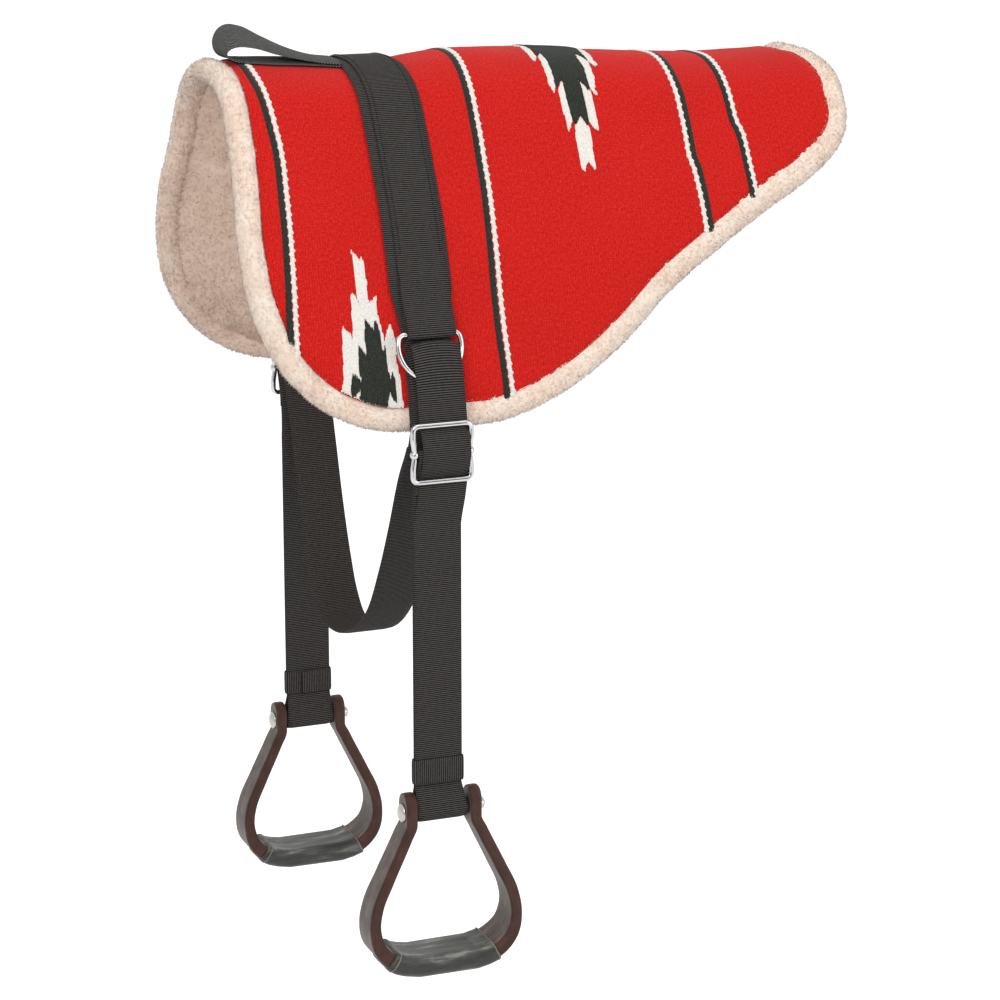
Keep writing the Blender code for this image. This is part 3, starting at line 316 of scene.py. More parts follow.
HIGH_FEATHER_WHITE = (
    ((0.1700, 0), (0.1770, 0), (0.1750, 0.0155), (0.1715, 0.0350), (0.1705, 0.0450),
     (0.1655, 0.0550), (0.1645, 0.0475), (0.1655, 0.0280)),
    ((0.1785, 0.0325), (0.1790, 0.0520), (0.1775, 0.0650), (0.1765, 0.0795), (0.1745, 0.0930),
     (0.1715, 0.1000), (0.1685, 0.0890), (0.1700, 0.0705), (0.1720, 0.0545), (0.1725, 0.0440)),
    ((0.1845, 0.0830), (0.1840, 0.0920), (0.1835, 0.1055), (0.1845, 0.1155), (0.1845, 0.1300),
     (0.1790, 0.1400), (0.1780, 0.1275), (0.1770, 0.1105), (0.1770, 0.0955), (0.1810, 0.0865)),
    ((0.2310, 0), (0.2370, 0), (0.2345, 0.0190), (0.2330, 0.0365), (0.2315, 0.0485),
     (0.2320, 0.0590), (0.2285, 0.0610), (0.2250, 0.0530), (0.2245, 0.0400), (0.2255, 0.0270)),
    ((0.2160, 0.0335), (0.2200, 0.0380), (0.2240, 0.0495), (0.2220, 0.0665), (0.2205, 0.0805),
     (0.2175, 0.0950), (0.2190, 0.1015), (0.2150, 0.1000), (0.2120, 0.0930), (0.2120, 0.0805),
     (0.2135, 0.0690), (0.2145, 0.0570), (0.2145, 0.0460)),
    ((0.2015, 0.0835), (0.2065, 0.0895), (0.2085, 0.0950), (0.2120, 0.0945), (0.2115, 0.1085),
     (0.2120, 0.1190), (0.2120, 0.1395), (0.2090, 0.1390), (0.2035, 0.1315), (0.2020, 0.1310),
     (0.2025, 0.1150), (0.2025, 0.0930)),
    ((0.1940, 0.1225), (0.1975, 0.1290), (0.2000, 0.1335), (0.2025, 0.1345), (0.2015, 0.1470),
     (0.2010, 0.1650), (0.2010, 0.1800), (0.1985, 0.1805), (0.1940, 0.1720), (0.1910, 0.1755),
     (0.1880, 0.1825), (0.1850, 0.1795), (0.1850, 0.1455), (0.1870, 0.1325), (0.1900, 0.1295)),
)

FINISHES = {}


def through(values, share, before=None):
    """Values at shares of the way along a smooth curve through evenly spaced values."""
    share = np.asarray(share, float)
    values = np.asarray(values, float)
    spans = len(values) - 1
    place = np.clip(share, 0, 1) * spans
    index = np.minimum(place.astype(int), spans - 1)
    part = place - index
    first = 2 * values[0] - values[1] if before is None else before
    line = np.concatenate([[first], values, [2 * values[-1] - values[-2]]])
    a, b, c, d = (line[index + step] for step in range(4))
    bend = (2 * a - 5 * b + 4 * c - d) * part ** 2
    twist = (3 * b - a - 3 * c + d) * part ** 3
    return b + ((c - a) * part + bend + twist) / 2


def unit(vectors):
    """Vectors brought to a length of one."""
    return vectors / np.maximum(np.linalg.norm(vectors, axis=-1, keepdims=True), 1e-12)


def eased(share):
    """A share from 0 to 1 that starts and ends slowly."""
    return share * share * (3 - 2 * share)


def lengths_of(line):
    """Distance along a line at each of its points."""
    return np.concatenate([[0], np.cumsum(np.linalg.norm(np.diff(line, axis=0), axis=1))])


def at_lengths(line, lengths, places):
    """A line's points at distances along it, from the distances of its own points."""
    return np.stack([np.interp(places, lengths, line[:, axis]) for axis in range(line.shape[1])], -1)


def resample(points, step, closed=False):
    """A line's points again at even steps."""
    line = np.asarray(points, float)
    if closed:
        line = np.vstack([line, line[:1]])
    lengths = lengths_of(line)
    count = max(int(round(lengths[-1] / step)), 2)
    even = at_lengths(line, lengths, np.linspace(0, lengths[-1], count + 1))
    return even[:-1] if closed else even


def soften(points, steps, closed=False):
    """Evens out the corners of a finely stepped line by averaging over neighbours."""
    line = np.asarray(points, float)
    kernel = np.ones(2 * steps + 1) / (2 * steps + 1)
    if closed:
        long = np.vstack([line[-steps:], line, line[:steps]])
    else:
        ahead = 2 * line[0] - line[steps:0:-1]
        behind = 2 * line[-1] - line[-2:-steps - 2:-1]
        long = np.vstack([ahead, line, behind])
    return np.stack([np.convolve(long[:, axis], kernel, "valid") for axis in range(line.shape[1])], -1)


def smooth_path(points, steps, ahead=None, behind=None):
    """Points of a smooth curve through uneven points, with steps spans between each pair."""
    line = [Vector(point) for point in points]
    first = Vector(ahead) if ahead else 2 * line[0] - line[1]
    last = Vector(behind) if behind else 2 * line[-1] - line[-2]
    line = [first, *line, last]
    path = []
    for index in range(1, len(line) - 2):
        a, b, c, d = line[index - 1:index + 3]
        leave, arrive = slope_at(a, b, c), slope_at(b, c, d)
        length = (c - b).length
        for step in range(steps):
            t = step / steps
            near = (2 * t ** 3 - 3 * t ** 2 + 1) * b + (t ** 3 - 2 * t ** 2 + t) * length * leave
            path.append(near + (3 * t ** 2 - 2 * t ** 3) * c + (t ** 3 - t ** 2) * length * arrive)
    return [tuple(point) for point in path + [line[-2]]]


def slope_at(a, b, c):
    """Tangent of the curve at b, weighted toward the shorter span."""
    back, on = (b - a).length, (c - b).length
    return ((b - a) * on / back + (c - b) * back / on) / (back + on)


def arc_points(centre, radius, start, end, steps):
    """Points on an arc in the Y-Z plane, with both ends, in degrees from outward."""
    angles = np.radians(np.linspace(start, end, steps + 1))
    return [(centre[0] + radius * math.cos(a), centre[1] + radius * math.sin(a)) for a in angles]


# The blanket's upper surface across the horse, finely stepped, with its outward direction
PLACES = np.linspace(0, PAD_ARC, 843)
OUT = PAD_HALF_WIDTH * through(SECTION_OUT_SHARES, PLACES / PAD_ARC)
UP = PAD_THICK - PAD_DROP * through(SECTION_DROP_SHARES, PLACES / PAD_ARC, SECTION_DROP_SHARES[1])
ALONG = unit(np.stack([np.gradient(OUT), np.gradient(UP)], -1))
OUT_WAY, UP_WAY = -ALONG[:, 1], ALONG[:, 0]


def sway(x, place):
    """Rise of the soft pad beside the tight band, level under it and fading toward the edge."""
    front = (BAND_FRONT - x) / (BAND_FRONT + PAD_FRONT)
    rear = (x - BAND_REAR) / (PAD_REAR - BAND_REAR)
    rise = through(FRONT_SWAY_SHARES, front) + through(REAR_SWAY_SHARES, rear)
    return SPINE_SWAY * rise * (1 - np.minimum(np.abs(place) / PAD_ARC, 1))


def on_pad(x, place, height, swayed=True):
    """Points at X, a signed distance from the spine and a height above the blanket."""
    x, place, height = np.broadcast_arrays(*(np.asarray(v, float) for v in (x, place, height)))
    reach = np.abs(place)
    out = np.interp(reach, PLACES, OUT) + np.interp(reach, PLACES, OUT_WAY) * height
    up = np.interp(reach, PLACES, UP) + np.interp(reach, PLACES, UP_WAY) * height
    if swayed:
        up = up + sway(x, place)
    return np.stack([x, np.sign(place) * out, up], -1)


def band_point(place, height):
    """(Y, Z) over the blanket at a distance from the spine, level along X."""
    point = on_pad(0, place, height, swayed=False)
    return point[1], point[2]


RING_HEIGHT = RIGGING_HEIGHT + RING_FOLD
RING_BAR = band_point(RING_PLACE, RING_HEIGHT)
RING_DOWN = unit(np.subtract(band_point(RING_PLACE + RING_RADIUS + RING_WIRE, RING_HEIGHT), RING_BAR))
BOLT_OUT = band_point(PAD_ARC, RIGGING_HEIGHT)[0] + STRAP_CLEAR
BOLT_DROP = BOLT_BELOW_RING - RING_BAR[1]
SLIDE_DROP = SLIDE_BELOW_RING - RING_BAR[1]
SLIDE_OUT = BOLT_OUT + 5 / 2 * LAYER + SLIDE_WIRE + SEAT_GAP + WEB_THICK / 2
RING_DROP = math.sqrt(RING_RADIUS ** 2 - RING_BAR_HALF ** 2)


def outline(inset):
    """The pad's outline moved inward: distances from the spine with front X and rear X."""
    t = np.linspace(0, 1, 600)
    reach = PAD_ARC * np.sin(t * math.pi / 2)
    front = np.stack([-PAD_FRONT * through(FRONT_EDGE_SHARES, t, FRONT_EDGE_SHARES[1]), reach], -1)
    rear = np.stack([PAD_REAR * through(REAR_EDGE_SHARES, t, REAR_EDGE_SHARES[1]), reach], -1)
    line = np.vstack([front, rear[::-1]])
    way = unit(np.gradient(line, axis=0))
    moved = line + inset * np.stack([way[:, 1], -way[:, 0]], -1)
    deepest = PAD_ARC - inset
    half = len(front)
    fore = moved[:half][moved[:half, 1] <= deepest]
    aft = moved[:half - 1:-1]
    aft = aft[aft[:, 1] <= deepest]
    count = int(deepest / OUTLINE_STEP)
    places = deepest * np.sin(np.linspace(0, 1, count + 1) * math.pi / 2) ** 0.9
    return places, np.interp(places, fore[:, 1], fore[:, 0]), np.interp(places, aft[:, 1], aft[:, 0])


def ripple(points, scale, seed):
    """Smooth noise from -1 to 1 at each point, for features about 1 / scale long."""
    shift = Vector((seed * 7.3, seed * 3.1, seed * 5.7))
    flat = points.reshape(-1, 3)
    values = np.array([noise.noise(Vector(point) * scale + shift) for point in flat.tolist()])
    return values.reshape(points.shape[:-1])


def pad_wave(x, place, seed=BLANKET_SEED):
    """Unevenness of a layer of the pad, from about -1 to 1 and none under the wide band."""
    flat = np.stack([x, place, np.zeros_like(x)], -1)
    held = np.minimum(x - BAND_FRONT + BAND_EASE, BAND_REAR + BAND_EASE - x) / BAND_EASE
    return (ripple(flat, 9, seed) + 0.5 * ripple(flat, 28, seed + 1)) * (1 - np.clip(held, 0, 1))


def on_blanket(x, place, height):
    """Points at a height above the uneven blanket."""
    return on_pad(x, place, height + BLANKET_UNEVEN * pad_wave(x, place))


def add_object(mesh, finish, body, node=None):
    """An object of the mesh's name with one finish or several, that rides on a body.

    node names the CAD piece that it stands for, if there is one."""
    for key in [finish] if isinstance(finish, str) else finish:
        mesh.materials.append(FINISHES[key])
    item = bpy.data.objects.new(mesh.name, mesh)
    bpy.context.scene.collection.objects.link(item)
    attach(item, body)
    if node:
        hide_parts(node)
    return item


def grid_faces(rows, columns, round_rows=False, round_columns=False):
    """Corner numbers of the quads of a grid that may close on itself either way."""
    i = np.arange(rows if round_rows else rows - 1)
    j = np.arange(columns if round_columns else columns - 1)
    i, j = np.meshgrid(i, j, indexing="ij")
    ahead, beside = (i + 1) % rows, (j + 1) % columns
    corners = [i * columns + j, i * columns + beside, ahead * columns + beside, ahead * columns + j]
    return np.stack(corners, -1).reshape(-1, 4)


def build_mesh(name, points, faces, uv=None, finishes=None):
    """A smooth mesh from corner points and faces of equal size, with UVs in metres."""
    mesh = bpy.data.meshes.new(name)
    points = np.asarray(points, np.float32).reshape(-1, 3)
    mesh.vertices.add(len(points))
    mesh.vertices.foreach_set("co", points.ravel())
    mesh.loops.add(faces.size)
    mesh.loops.foreach_set("vertex_index", faces.astype(np.int32).ravel())
    mesh.polygons.add(len(faces))
    starts = np.arange(0, faces.size, faces.shape[1], dtype=np.int32)
    mesh.polygons.foreach_set("loop_start", starts)
    mesh.polygons.foreach_set("use_smooth", np.full(len(faces), True))
    if finishes is not None:
        mesh.polygons.foreach_set("material_index", np.asarray(finishes, np.int32))
    if uv is not None:
        corners = np.asarray(uv, np.float32).reshape(-1, 2)[faces.ravel()]
        mesh.uv_layers.new(name="metres").data.foreach_set("uv", corners.ravel())
    mesh.update(calc_edges=True)
    mesh.validate()
    return mesh


def outward(mesh):
    """Turns a mesh's faces outward."""
    work = bmesh.new()
    work.from_mesh(mesh)
    bmesh.ops.recalc_face_normals(work, faces=work.faces)
    work.to_mesh(mesh)
    work.free()
    return mesh


def grid_mesh(name, points, round_rows=False):
    """A mesh over a grid of points that closes on itself across, and along if asked."""
    faces = grid_faces(*points.shape[:2], round_rows, True)
    return outward(build_mesh(name, points, faces))


def spokes(side, up, angles):
    """Directions round each point of a line, from its two square directions."""
    turn = angles[None, :, None]
    return side[:, None] * np.cos(turn) + up[:, None] * np.sin(turn)


def tube_mesh(name, line, radius, around=16):
    """A wire along a closed line."""
    way = unit(np.roll(line, -1, 0) - np.roll(line, 1, 0))
    guide = np.array([0.0, 0.0, 1.0]) if abs(way[0][2]) < 0.9 else np.array([1.0, 0.0, 0.0])
    side = np.empty_like(line)
    previous = unit(np.cross(way[0], guide))
    for index, direction in enumerate(way):
        previous = unit(previous - direction * np.dot(previous, direction))
        side[index] = previous
    twist = math.atan2(np.dot(np.cross(side[-1], side[0]), way[0]), np.dot(side[-1], side[0]))
    share = (np.arange(len(line)) / len(line) * twist)[:, None]
    side = side * np.cos(share) + np.cross(way, side) * np.sin(share)
    ring = spokes(side, np.cross(way, side), np.linspace(0, TURN, around, endpoint=False))
    return grid_mesh(name, line[:, None] + ring * radius, round_rows=True)


def joined(name, meshes):
    """One mesh from several."""
    work = bmesh.new()
    for mesh in meshes:
        work.from_mesh(mesh)
        bpy.data.meshes.remove(mesh)
    mesh = bpy.data.meshes.new(name)
    work.to_mesh(mesh)
    work.free()
    return mesh


def srgb(red, green, blue):
    """A colour of 0 to 255 values as linear light."""
    values = [value / 255 for value in (red, green, blue)]
    return [v / 12.92 if v <= 0.04045 else ((v + 0.055) / 1.055) ** 2.4 for v in values] + [1]


def add_node(tree, kind, inputs=None, **settings):
    """A node with its settings; inputs are values or the sockets that feed it."""
    node = tree.nodes.new(kind)
    for key, value in settings.items():
        setattr(node, key, value)
    for key, value in (inputs or {}).items():
        if isinstance(value, bpy.types.NodeSocket):
            tree.links.new(value, node.inputs[key])
        else:
            node.inputs[key].default_value = value
    return node


def new_material(name, roughness, **values):
    """A material, its node tree and its shader with the given socket values."""
    material = bpy.data.materials.new(name)
    material.use_nodes = True
    tree = material.node_tree
    shader = tree.nodes["Principled BSDF"]
    shader.inputs["Roughness"].default_value = roughness
    for key, value in values.items():
        shader.inputs[key.replace("_", " ")].default_value = value
    return material, tree, shader


def coordinates_of(tree, kind="Object"):
    """Texture coordinates of a kind; object coordinates stay with the piece as it moves."""
    return add_node(tree, "ShaderNodeTexCoord").outputs[kind]


def noise_value(tree, coordinates, scale, detail=3.0, stretch=None, roughness=0.55):
    """Noise at a scale per metre, stretched by a scale for each axis if asked."""
    if stretch:
        mapping = add_node(tree, "ShaderNodeMapping", {"Vector": coordinates, "Scale": stretch})
        coordinates = mapping.outputs["Vector"]
    inputs = {"Vector": coordinates, "Scale": scale, "Detail": detail, "Roughness": roughness}
    return add_node(tree, "ShaderNodeTexNoise", inputs).outputs["Fac"]


def ramp(tree, value, stops):
    """Colours at places along a ramp."""
    node = add_node(tree, "ShaderNodeValToRGB", {"Fac": value})
    elements = node.color_ramp.elements
    while len(elements) < len(stops):
        elements.new(0.5)
    for element, (place, colour) in zip(elements, stops):
        element.position = place
        element.color = colour
    return node.outputs["Color"]


def colour_by(tree, shader, value, *stops):
    """Colours a shader by a value, with colours at places from 0 to 1."""
    tree.links.new(ramp(tree, value, stops), shader.inputs["Base Color"])


def math_node(tree, operation, first, second=0.0):
    """The result of an operation on values or sockets."""
    return add_node(tree, "ShaderNodeMath", {0: first, 1: second}, operation=operation).outputs[0]


def weighted(tree, *terms):
    """The sum of values times their weights."""
    total = None
    for value, weight in terms:
        part = value if weight == 1 else math_node(tree, "MULTIPLY", value, weight)
        total = part if total is None else math_node(tree, "ADD", total, part)
    return total


def bump(tree, shader, height, strength, distance):
    """Relief from a height that is given as a share of a distance in metres."""
    inputs = {"Height": height, "Strength": strength, "Distance": distance}
    tree.links.new(add_node(tree, "ShaderNodeBump", inputs).outputs["Normal"], shader.inputs["Normal"])


def multiply(tree, first, second):
    """One colour darkened by another."""
    node = add_node(tree, "ShaderNodeMix", {0: 1.0, 6: first, 7: second}, data_type="RGBA",
                    blend_type="MULTIPLY")
    return node.outputs[2]


def uv_axes(tree):
    """The UV map's two axes, in metres, and the map itself."""
    coordinates = coordinates_of(tree, "UV")
    axes = add_node(tree, "ShaderNodeSeparateXYZ", {"Vector": coordinates})
    return axes.outputs["X"], axes.outputs["Y"], coordinates


def waves(tree, value, pitch):
    """Rounded ridges from 0 to 1 at a pitch in metres."""
    angle = math_node(tree, "MULTIPLY", value, math.pi / pitch)
    return math_node(tree, "ABSOLUTE", math_node(tree, "SINE", angle))


def woven_red():
    """Red wool with paler and darker flecks and a fine weave."""
    material, tree, shader = new_material("woven_red", 0.95, Sheen_Weight=0.08,
                                          Specular_IOR_Level=0.08)
    x, place, coordinates = uv_axes(tree)
    flecks = noise_value(tree, coordinates, 1.0, 5.0, (430, 300, 1), 0.75)
    grain = noise_value(tree, coordinates, 1.0, 3.0, (900, 700, 1), 0.6)
    patches = noise_value(tree, coordinates, 11.0)
    weave = math_node(tree, "MULTIPLY", waves(tree, x, WEFT_PITCH), waves(tree, place, WARP_PITCH))
    mixed = weighted(tree, (flecks, 0.62), (grain, 0.32), (weave, 0.10))
    colour = ramp(tree, mixed, ((0.30, srgb(132, 12, 12)), (0.43, srgb(196, 24, 21)),
                                (0.56, srgb(220, 38, 32)), (0.68, srgb(232, 66, 54)),
                                (0.78, srgb(248, 132, 112))))
    shade = ramp(tree, patches, ((0.3, (0.93, 0.93, 0.93, 1)), (0.7, (1, 1, 1, 1))))
    tree.links.new(multiply(tree, colour, shade), shader.inputs["Base Color"])
    bump(tree, shader, weighted(tree, (weave, 0.5), (flecks, 1)), 0.5, 0.0006)
    return material


def yarn(name, dark, light):
    """Dull wool yarn or felt with a fine grain."""
    material, tree, shader = new_material(name, 0.95, Sheen_Weight=0.1, Specular_IOR_Level=0.15)
    grain = noise_value(tree, coordinates_of(tree), 700.0, 4.0)
    colour_by(tree, shader, grain, (0.3, dark), (0.7, light))
    bump(tree, shader, grain, 0.6, 0.0004)
    return material


def fleece(name, dark, middle, light):
    """Soft fleece in patches of three tones."""
    material, tree, shader = new_material(name, 1.0, Sheen_Weight=0.25, Specular_IOR_Level=0.05)
    coordinates = coordinates_of(tree)
    fine = noise_value(tree, coordinates, 420.0, 4.0)
    broad = noise_value(tree, coordinates, 38.0, 4.0)
    mixed = weighted(tree, (fine, 0.5), (broad, 0.5))
    colour_by(tree, shader, mixed, (0.30, dark), (0.48, middle), (0.64, light))
    bump(tree, shader, fine, 0.35, 0.0008)
    return material


def ribbed(name, valley, crest, pitch, slant=0.0, valley_at=0.45):
    """Webbing whose ribs cross it at a pitch, with fine lengthwise threads."""
    material, tree, shader = new_material(name, 0.7, Specular_IOR_Level=0.08)
    across, along, coordinates = uv_axes(tree)
    ribs = waves(tree, weighted(tree, (along, 1), (across, slant)), pitch)
    threads = waves(tree, across, 0.0009)
    wear = noise_value(tree, coordinates, 260.0)
    mixed = math_node(tree, "MULTIPLY", ribs, weighted(tree, (threads, 0.25), (0.75, 1)))
    mixed = weighted(tree, (mixed, 0.8), (wear, 0.25))
    colour_by(tree, shader, mixed, (valley_at, valley), (0.90, crest))
    bump(tree, shader, weighted(tree, (ribs, 1), (threads, 0.35)), 0.7, 0.0004)
    return material


def plain_thread(name, colour):
    """Smooth twisted thread, also for the dark sleeve."""
    material, tree, shader = new_material(name, 0.6, Specular_IOR_Level=0.3)
    twist = noise_value(tree, coordinates_of(tree), 1500.0, 2.0)
    dark = [value * 0.6 for value in colour[:3]] + [1]
    colour_by(tree, shader, twist, (0.3, dark), (0.7, colour))
    return material


def metal(name, colour, roughness):
    """Metal whose gloss and tone vary a little."""
    material, tree, shader = new_material(name, roughness, Metallic=1.0)
    haze = noise_value(tree, coordinates_of(tree), 90.0, 4.0)
    dark = [value * 0.88 for value in colour[:3]] + [1]
    colour_by(tree, shader, haze, (0.3, dark), (0.7, colour))
    spread = weighted(tree, (haze, roughness * 0.6), (roughness * 0.7, 1))
    tree.links.new(spread, shader.inputs["Roughness"])
    return material


def stained_wood(name, dark, middle, light, gloss):
    """Wood whose grain runs along the frame."""
    material, tree, shader = new_material(name, gloss, Specular_IOR_Level=0.3)
    coordinates = coordinates_of(tree, "UV")
    grain = noise_value(tree, coordinates, 1.0, 6.0, (38, 620, 1), 0.65)
    cloud = noise_value(tree, coordinates, 55.0)
    mixed = weighted(tree, (grain, 0.6), (cloud, 0.4))
    colour_by(tree, shader, mixed, (0.32, dark), (0.5, middle), (0.68, light))
    bump(tree, shader, grain, 0.25, 0.0003)
    return material


def soft_leather():
    """Waxed leather, creased lengthwise, with painted light: paler on the tread's upper side and darker as
    painted shade on its side and lower faces.
    """
    material, tree, shader = new_material("tread_leather", 0.42, Specular_IOR_Level=0.5)
    coordinates = coordinates_of(tree)
    creases = noise_value(tree, coordinates, 1.0, 4.0, (22, 110, 110), 0.6)
    pores = noise_value(tree, coordinates, 900.0, 2.0)
    # Painted light from above: faces turned up keep their colour, side and lower faces are darkened as
    # painted shade
    facing = add_node(tree, "ShaderNodeSeparateXYZ", {"Vector": coordinates_of(tree, "Normal")})
    painted_top_light = ramp(tree, facing.outputs["Z"], ((0.0, (0.42, 0.42, 0.42, 1)), (0.8, (1, 1, 1, 1))))
    colour = ramp(tree, creases, ((0.34, srgb(42, 43, 40)), (0.50, srgb(66, 67, 63)),
                                  (0.58, srgb(86, 86, 82)), (0.68, srgb(138, 138, 132))))
    tree.links.new(multiply(tree, colour, painted_top_light), shader.inputs["Base Color"])
    bump(tree, shader, weighted(tree, (creases, 1), (pores, 0.08)), 0.6, 0.0016)
    return material


def make_finishes():
    """Every finish of the pad, by the names that add_object is given."""
    return {
        "red": woven_red(),
        "white_yarn": yarn("white_yarn", srgb(226, 220, 210), srgb(255, 252, 246)),
        "black_yarn": yarn("black_yarn", srgb(28, 30, 27), srgb(62, 65, 59)),
        "felt": yarn("grey_felt", srgb(120, 116, 110), srgb(160, 155, 148)),
        "roll": fleece("cream_fleece", srgb(232, 202, 180), srgb(252, 229, 211), srgb(255, 242, 227)),
        "lining": fleece("beige_fleece", srgb(214, 184, 164), srgb(234, 208, 190), srgb(246, 226, 210)),
        "webbing": ribbed("black_webbing", srgb(15, 14, 14), srgb(94, 90, 87), RIB_PITCH),
        "handle": ribbed("grey_webbing", srgb(24, 24, 24), srgb(142, 142, 139), HANDLE_RIB_PITCH,
                         slant=1.0, valley_at=0.60),
        "thread": plain_thread("black_thread", srgb(34, 32, 31)),
        "pale_thread": plain_thread("pale_thread", srgb(176, 160, 138)),
        "wood": stained_wood("stained_wood", srgb(42, 24, 18), srgb(66, 39, 31), srgb(92, 58, 47), 0.55),
        "flank": stained_wood("worn_flank", srgb(62, 54, 49), srgb(92, 82, 76), srgb(130, 118, 110), 0.5),
        "leather": soft_leather(),
        "bushing": plain_thread("dark_bushing", srgb(40, 39, 38)),
        "chrome": metal("chrome_wire", (0.58, 0.58, 0.59, 1), 0.10),
        "steel": metal("plated_steel", (0.70, 0.70, 0.70, 1), 0.14),
        "nickel": metal("nickel_bolt", (0.50, 0.48, 0.43, 1), 0.30),
    }


def sheet_points(inset, top, bottom, columns, uneven, seed, crown=0.0, rim=0.03):
    """Upper and lower corners of a layer of the pad, with its UVs as X and place."""
    places, front, rear = outline(inset)
    signed = np.concatenate([-places[:0:-1], places])
    fore, aft = (np.concatenate([line[:0:-1], line])[:, None] for line in (front, rear))
    even, bunched = np.linspace(0, 1, columns), (1 - np.cos(np.linspace(0, math.pi, columns))) / 2
    x = fore + (aft - fore) * (bunched * 0.3 + even * 0.7)
    place = np.repeat(signed[:, None], columns, 1)
    edge = np.minimum(np.minimum(x - fore, aft - x), places[-1] - np.abs(place))
    dip = crown * (1 - np.clip(edge / rim, 0, 1)) ** 2
    wave = uneven * pad_wave(x, place, seed)
    upper = on_pad(x, place, -top - dip + wave)
    lower = on_pad(x, place, -bottom + dip * 0.5 + wave)
    return upper, lower, np.stack([x, place], -1)


def sheet_mesh(name, upper, lower, uv):
    """A closed sheet between two grids."""
    rows, columns = upper.shape[:2]
    top = grid_faces(rows, columns)
    count = rows * columns
    rim = np.concatenate([np.arange(columns), np.arange(2, rows) * columns - 1,
                          count - 1 - np.arange(columns), np.arange(rows - 2, 0, -1) * columns])
    after = np.roll(rim, -1)
    sides = np.stack([rim, after, after + count, rim + count], -1)
    faces = np.vstack([top, top[:, ::-1] + count, sides])
    return outward(build_mesh(name, [upper, lower], faces, [uv, uv]))


def tuft_mesh(name, surface, normals, count, length, width, seed, lean):
    """Short pointed fibres scattered over a grid, shaded with the surface's own direction."""
    rng = np.random.default_rng(seed)
    rows, columns = surface.shape[:2]
    i = rng.integers(0, rows - 1, count)
    j = rng.integers(0, columns - 1, count)
    a, b = rng.random((2, count, 1))

    def pick(values):
        low = values[i, j] * (1 - b) + values[i, j + 1] * b
        high = values[i + 1, j] * (1 - b) + values[i + 1, j + 1] * b
        return low * (1 - a) + high * a

    base, facing = pick(surface), unit(pick(normals))
    drift = rng.normal(0, 1, (count, 3))
    drift = unit(drift - facing * np.sum(drift * facing, -1, keepdims=True))
    way = unit(facing + lean * rng.random((count, 1)) * drift)
    side = unit(np.cross(way, rng.normal(0, 1, (count, 3))))
    other = np.cross(way, side)
    long = length * rng.uniform(0.55, 1.15, (count, 1))
    wide = width * rng.uniform(0.7, 1.3, (count, 1)) / 2
    root = base - facing * length * 0.3
    tip = root + unit(way + 0.4 * drift) * long * 1.2
    around = [side * math.cos(turn) + other * math.sin(turn) for turn in (0, TURN / 3, 2 * TURN / 3)]
    points = np.stack([root + spoke * wide for spoke in around] + [tip], 1)
    start = np.arange(count)[:, None] * 4
    faces = np.vstack([start + np.array([corners]) for corners in ((0, 1, 3), (1, 2, 3), (2, 0, 3))])
    mesh = build_mesh(name, points, faces)
    shade = unit(facing + 0.16 * rng.normal(0, 1, (count, 3)))
    mesh.normals_split_custom_set_from_vertices(np.repeat(shade, 4, 0).tolist())
    return mesh


def make_blanket():
    """The woven top: a sheet that dips where it is sewn under the fleece roll."""
    layer = sheet_points(BLANKET_INSET, 0, BLANKET_THICK, SHEET_COLUMNS, BLANKET_UNEVEN, BLANKET_SEED,
                         BLANKET_DIP, BLANKET_RIM)
    blanket = add_object(sheet_mesh("woven_blanket", *layer), "red", "pad", "blanket_top")


def make_felt():
    """The core between the blanket and the lining."""
    top = BLANKET_THICK + SOFT_GAP
    layer = sheet_points(CORE_INSET, top, top + CORE_THICK, CORE_COLUMNS, CORE_UNEVEN, BLANKET_SEED)
    felt = add_object(sheet_mesh("felt_pad", *layer), "felt", "pad", "felt_core")


def make_lining():
    """The fleece against the horse: a backed sheet with its pile."""
    top = BLANKET_THICK + CORE_THICK + 2 * SOFT_GAP
    upper, lower, uv = sheet_points(LINING_INSET, top, PAD_THICK - LINING_PILE_ROOM, SHEET_COLUMNS,
                                    LINING_UNEVEN, LINING_SEED, -LINING_SWELL)
    mesh = sheet_mesh("fleece_backing", upper, lower, uv)
    backing = add_object(mesh, "lining", "pad", "fleece_lining")
    facing = unit(np.cross(np.gradient(upper, axis=0), np.gradient(upper, axis=1)))
    facing = facing * -np.sign(facing[len(facing) // 2, 5, 2])
    pile = tuft_mesh("lining_pile", lower, facing, LINING_TUFTS, LINING_TUFT, LINING_TUFT_WIDTH, 5, 1.3)
    add_object(pile, "lining", "pad")


def roll_line():
    """The middle of the fleece roll as (X, place) round the whole edge."""
    places, front, rear = outline(BINDING_RADIUS)
    across = np.linspace(front[-1], rear[-1], 40)[1:-1]
    near = np.vstack([np.stack([front, -places], -1),
                      np.stack([across, np.full(len(across), -places[-1])], -1),
                      np.stack([rear[::-1], -places[::-1]], -1)])
    far = near[-2:0:-1] * np.array([1, -1])
    return soften(resample(np.vstack([near, far]), ROLL_STEP, closed=True), 5, closed=True)


def wrapped(grid):
    """A grid with its first row and column again at its end."""
    grid = np.concatenate([grid, grid[:1]], 0)
    return np.concatenate([grid, grid[:, :1]], 1)


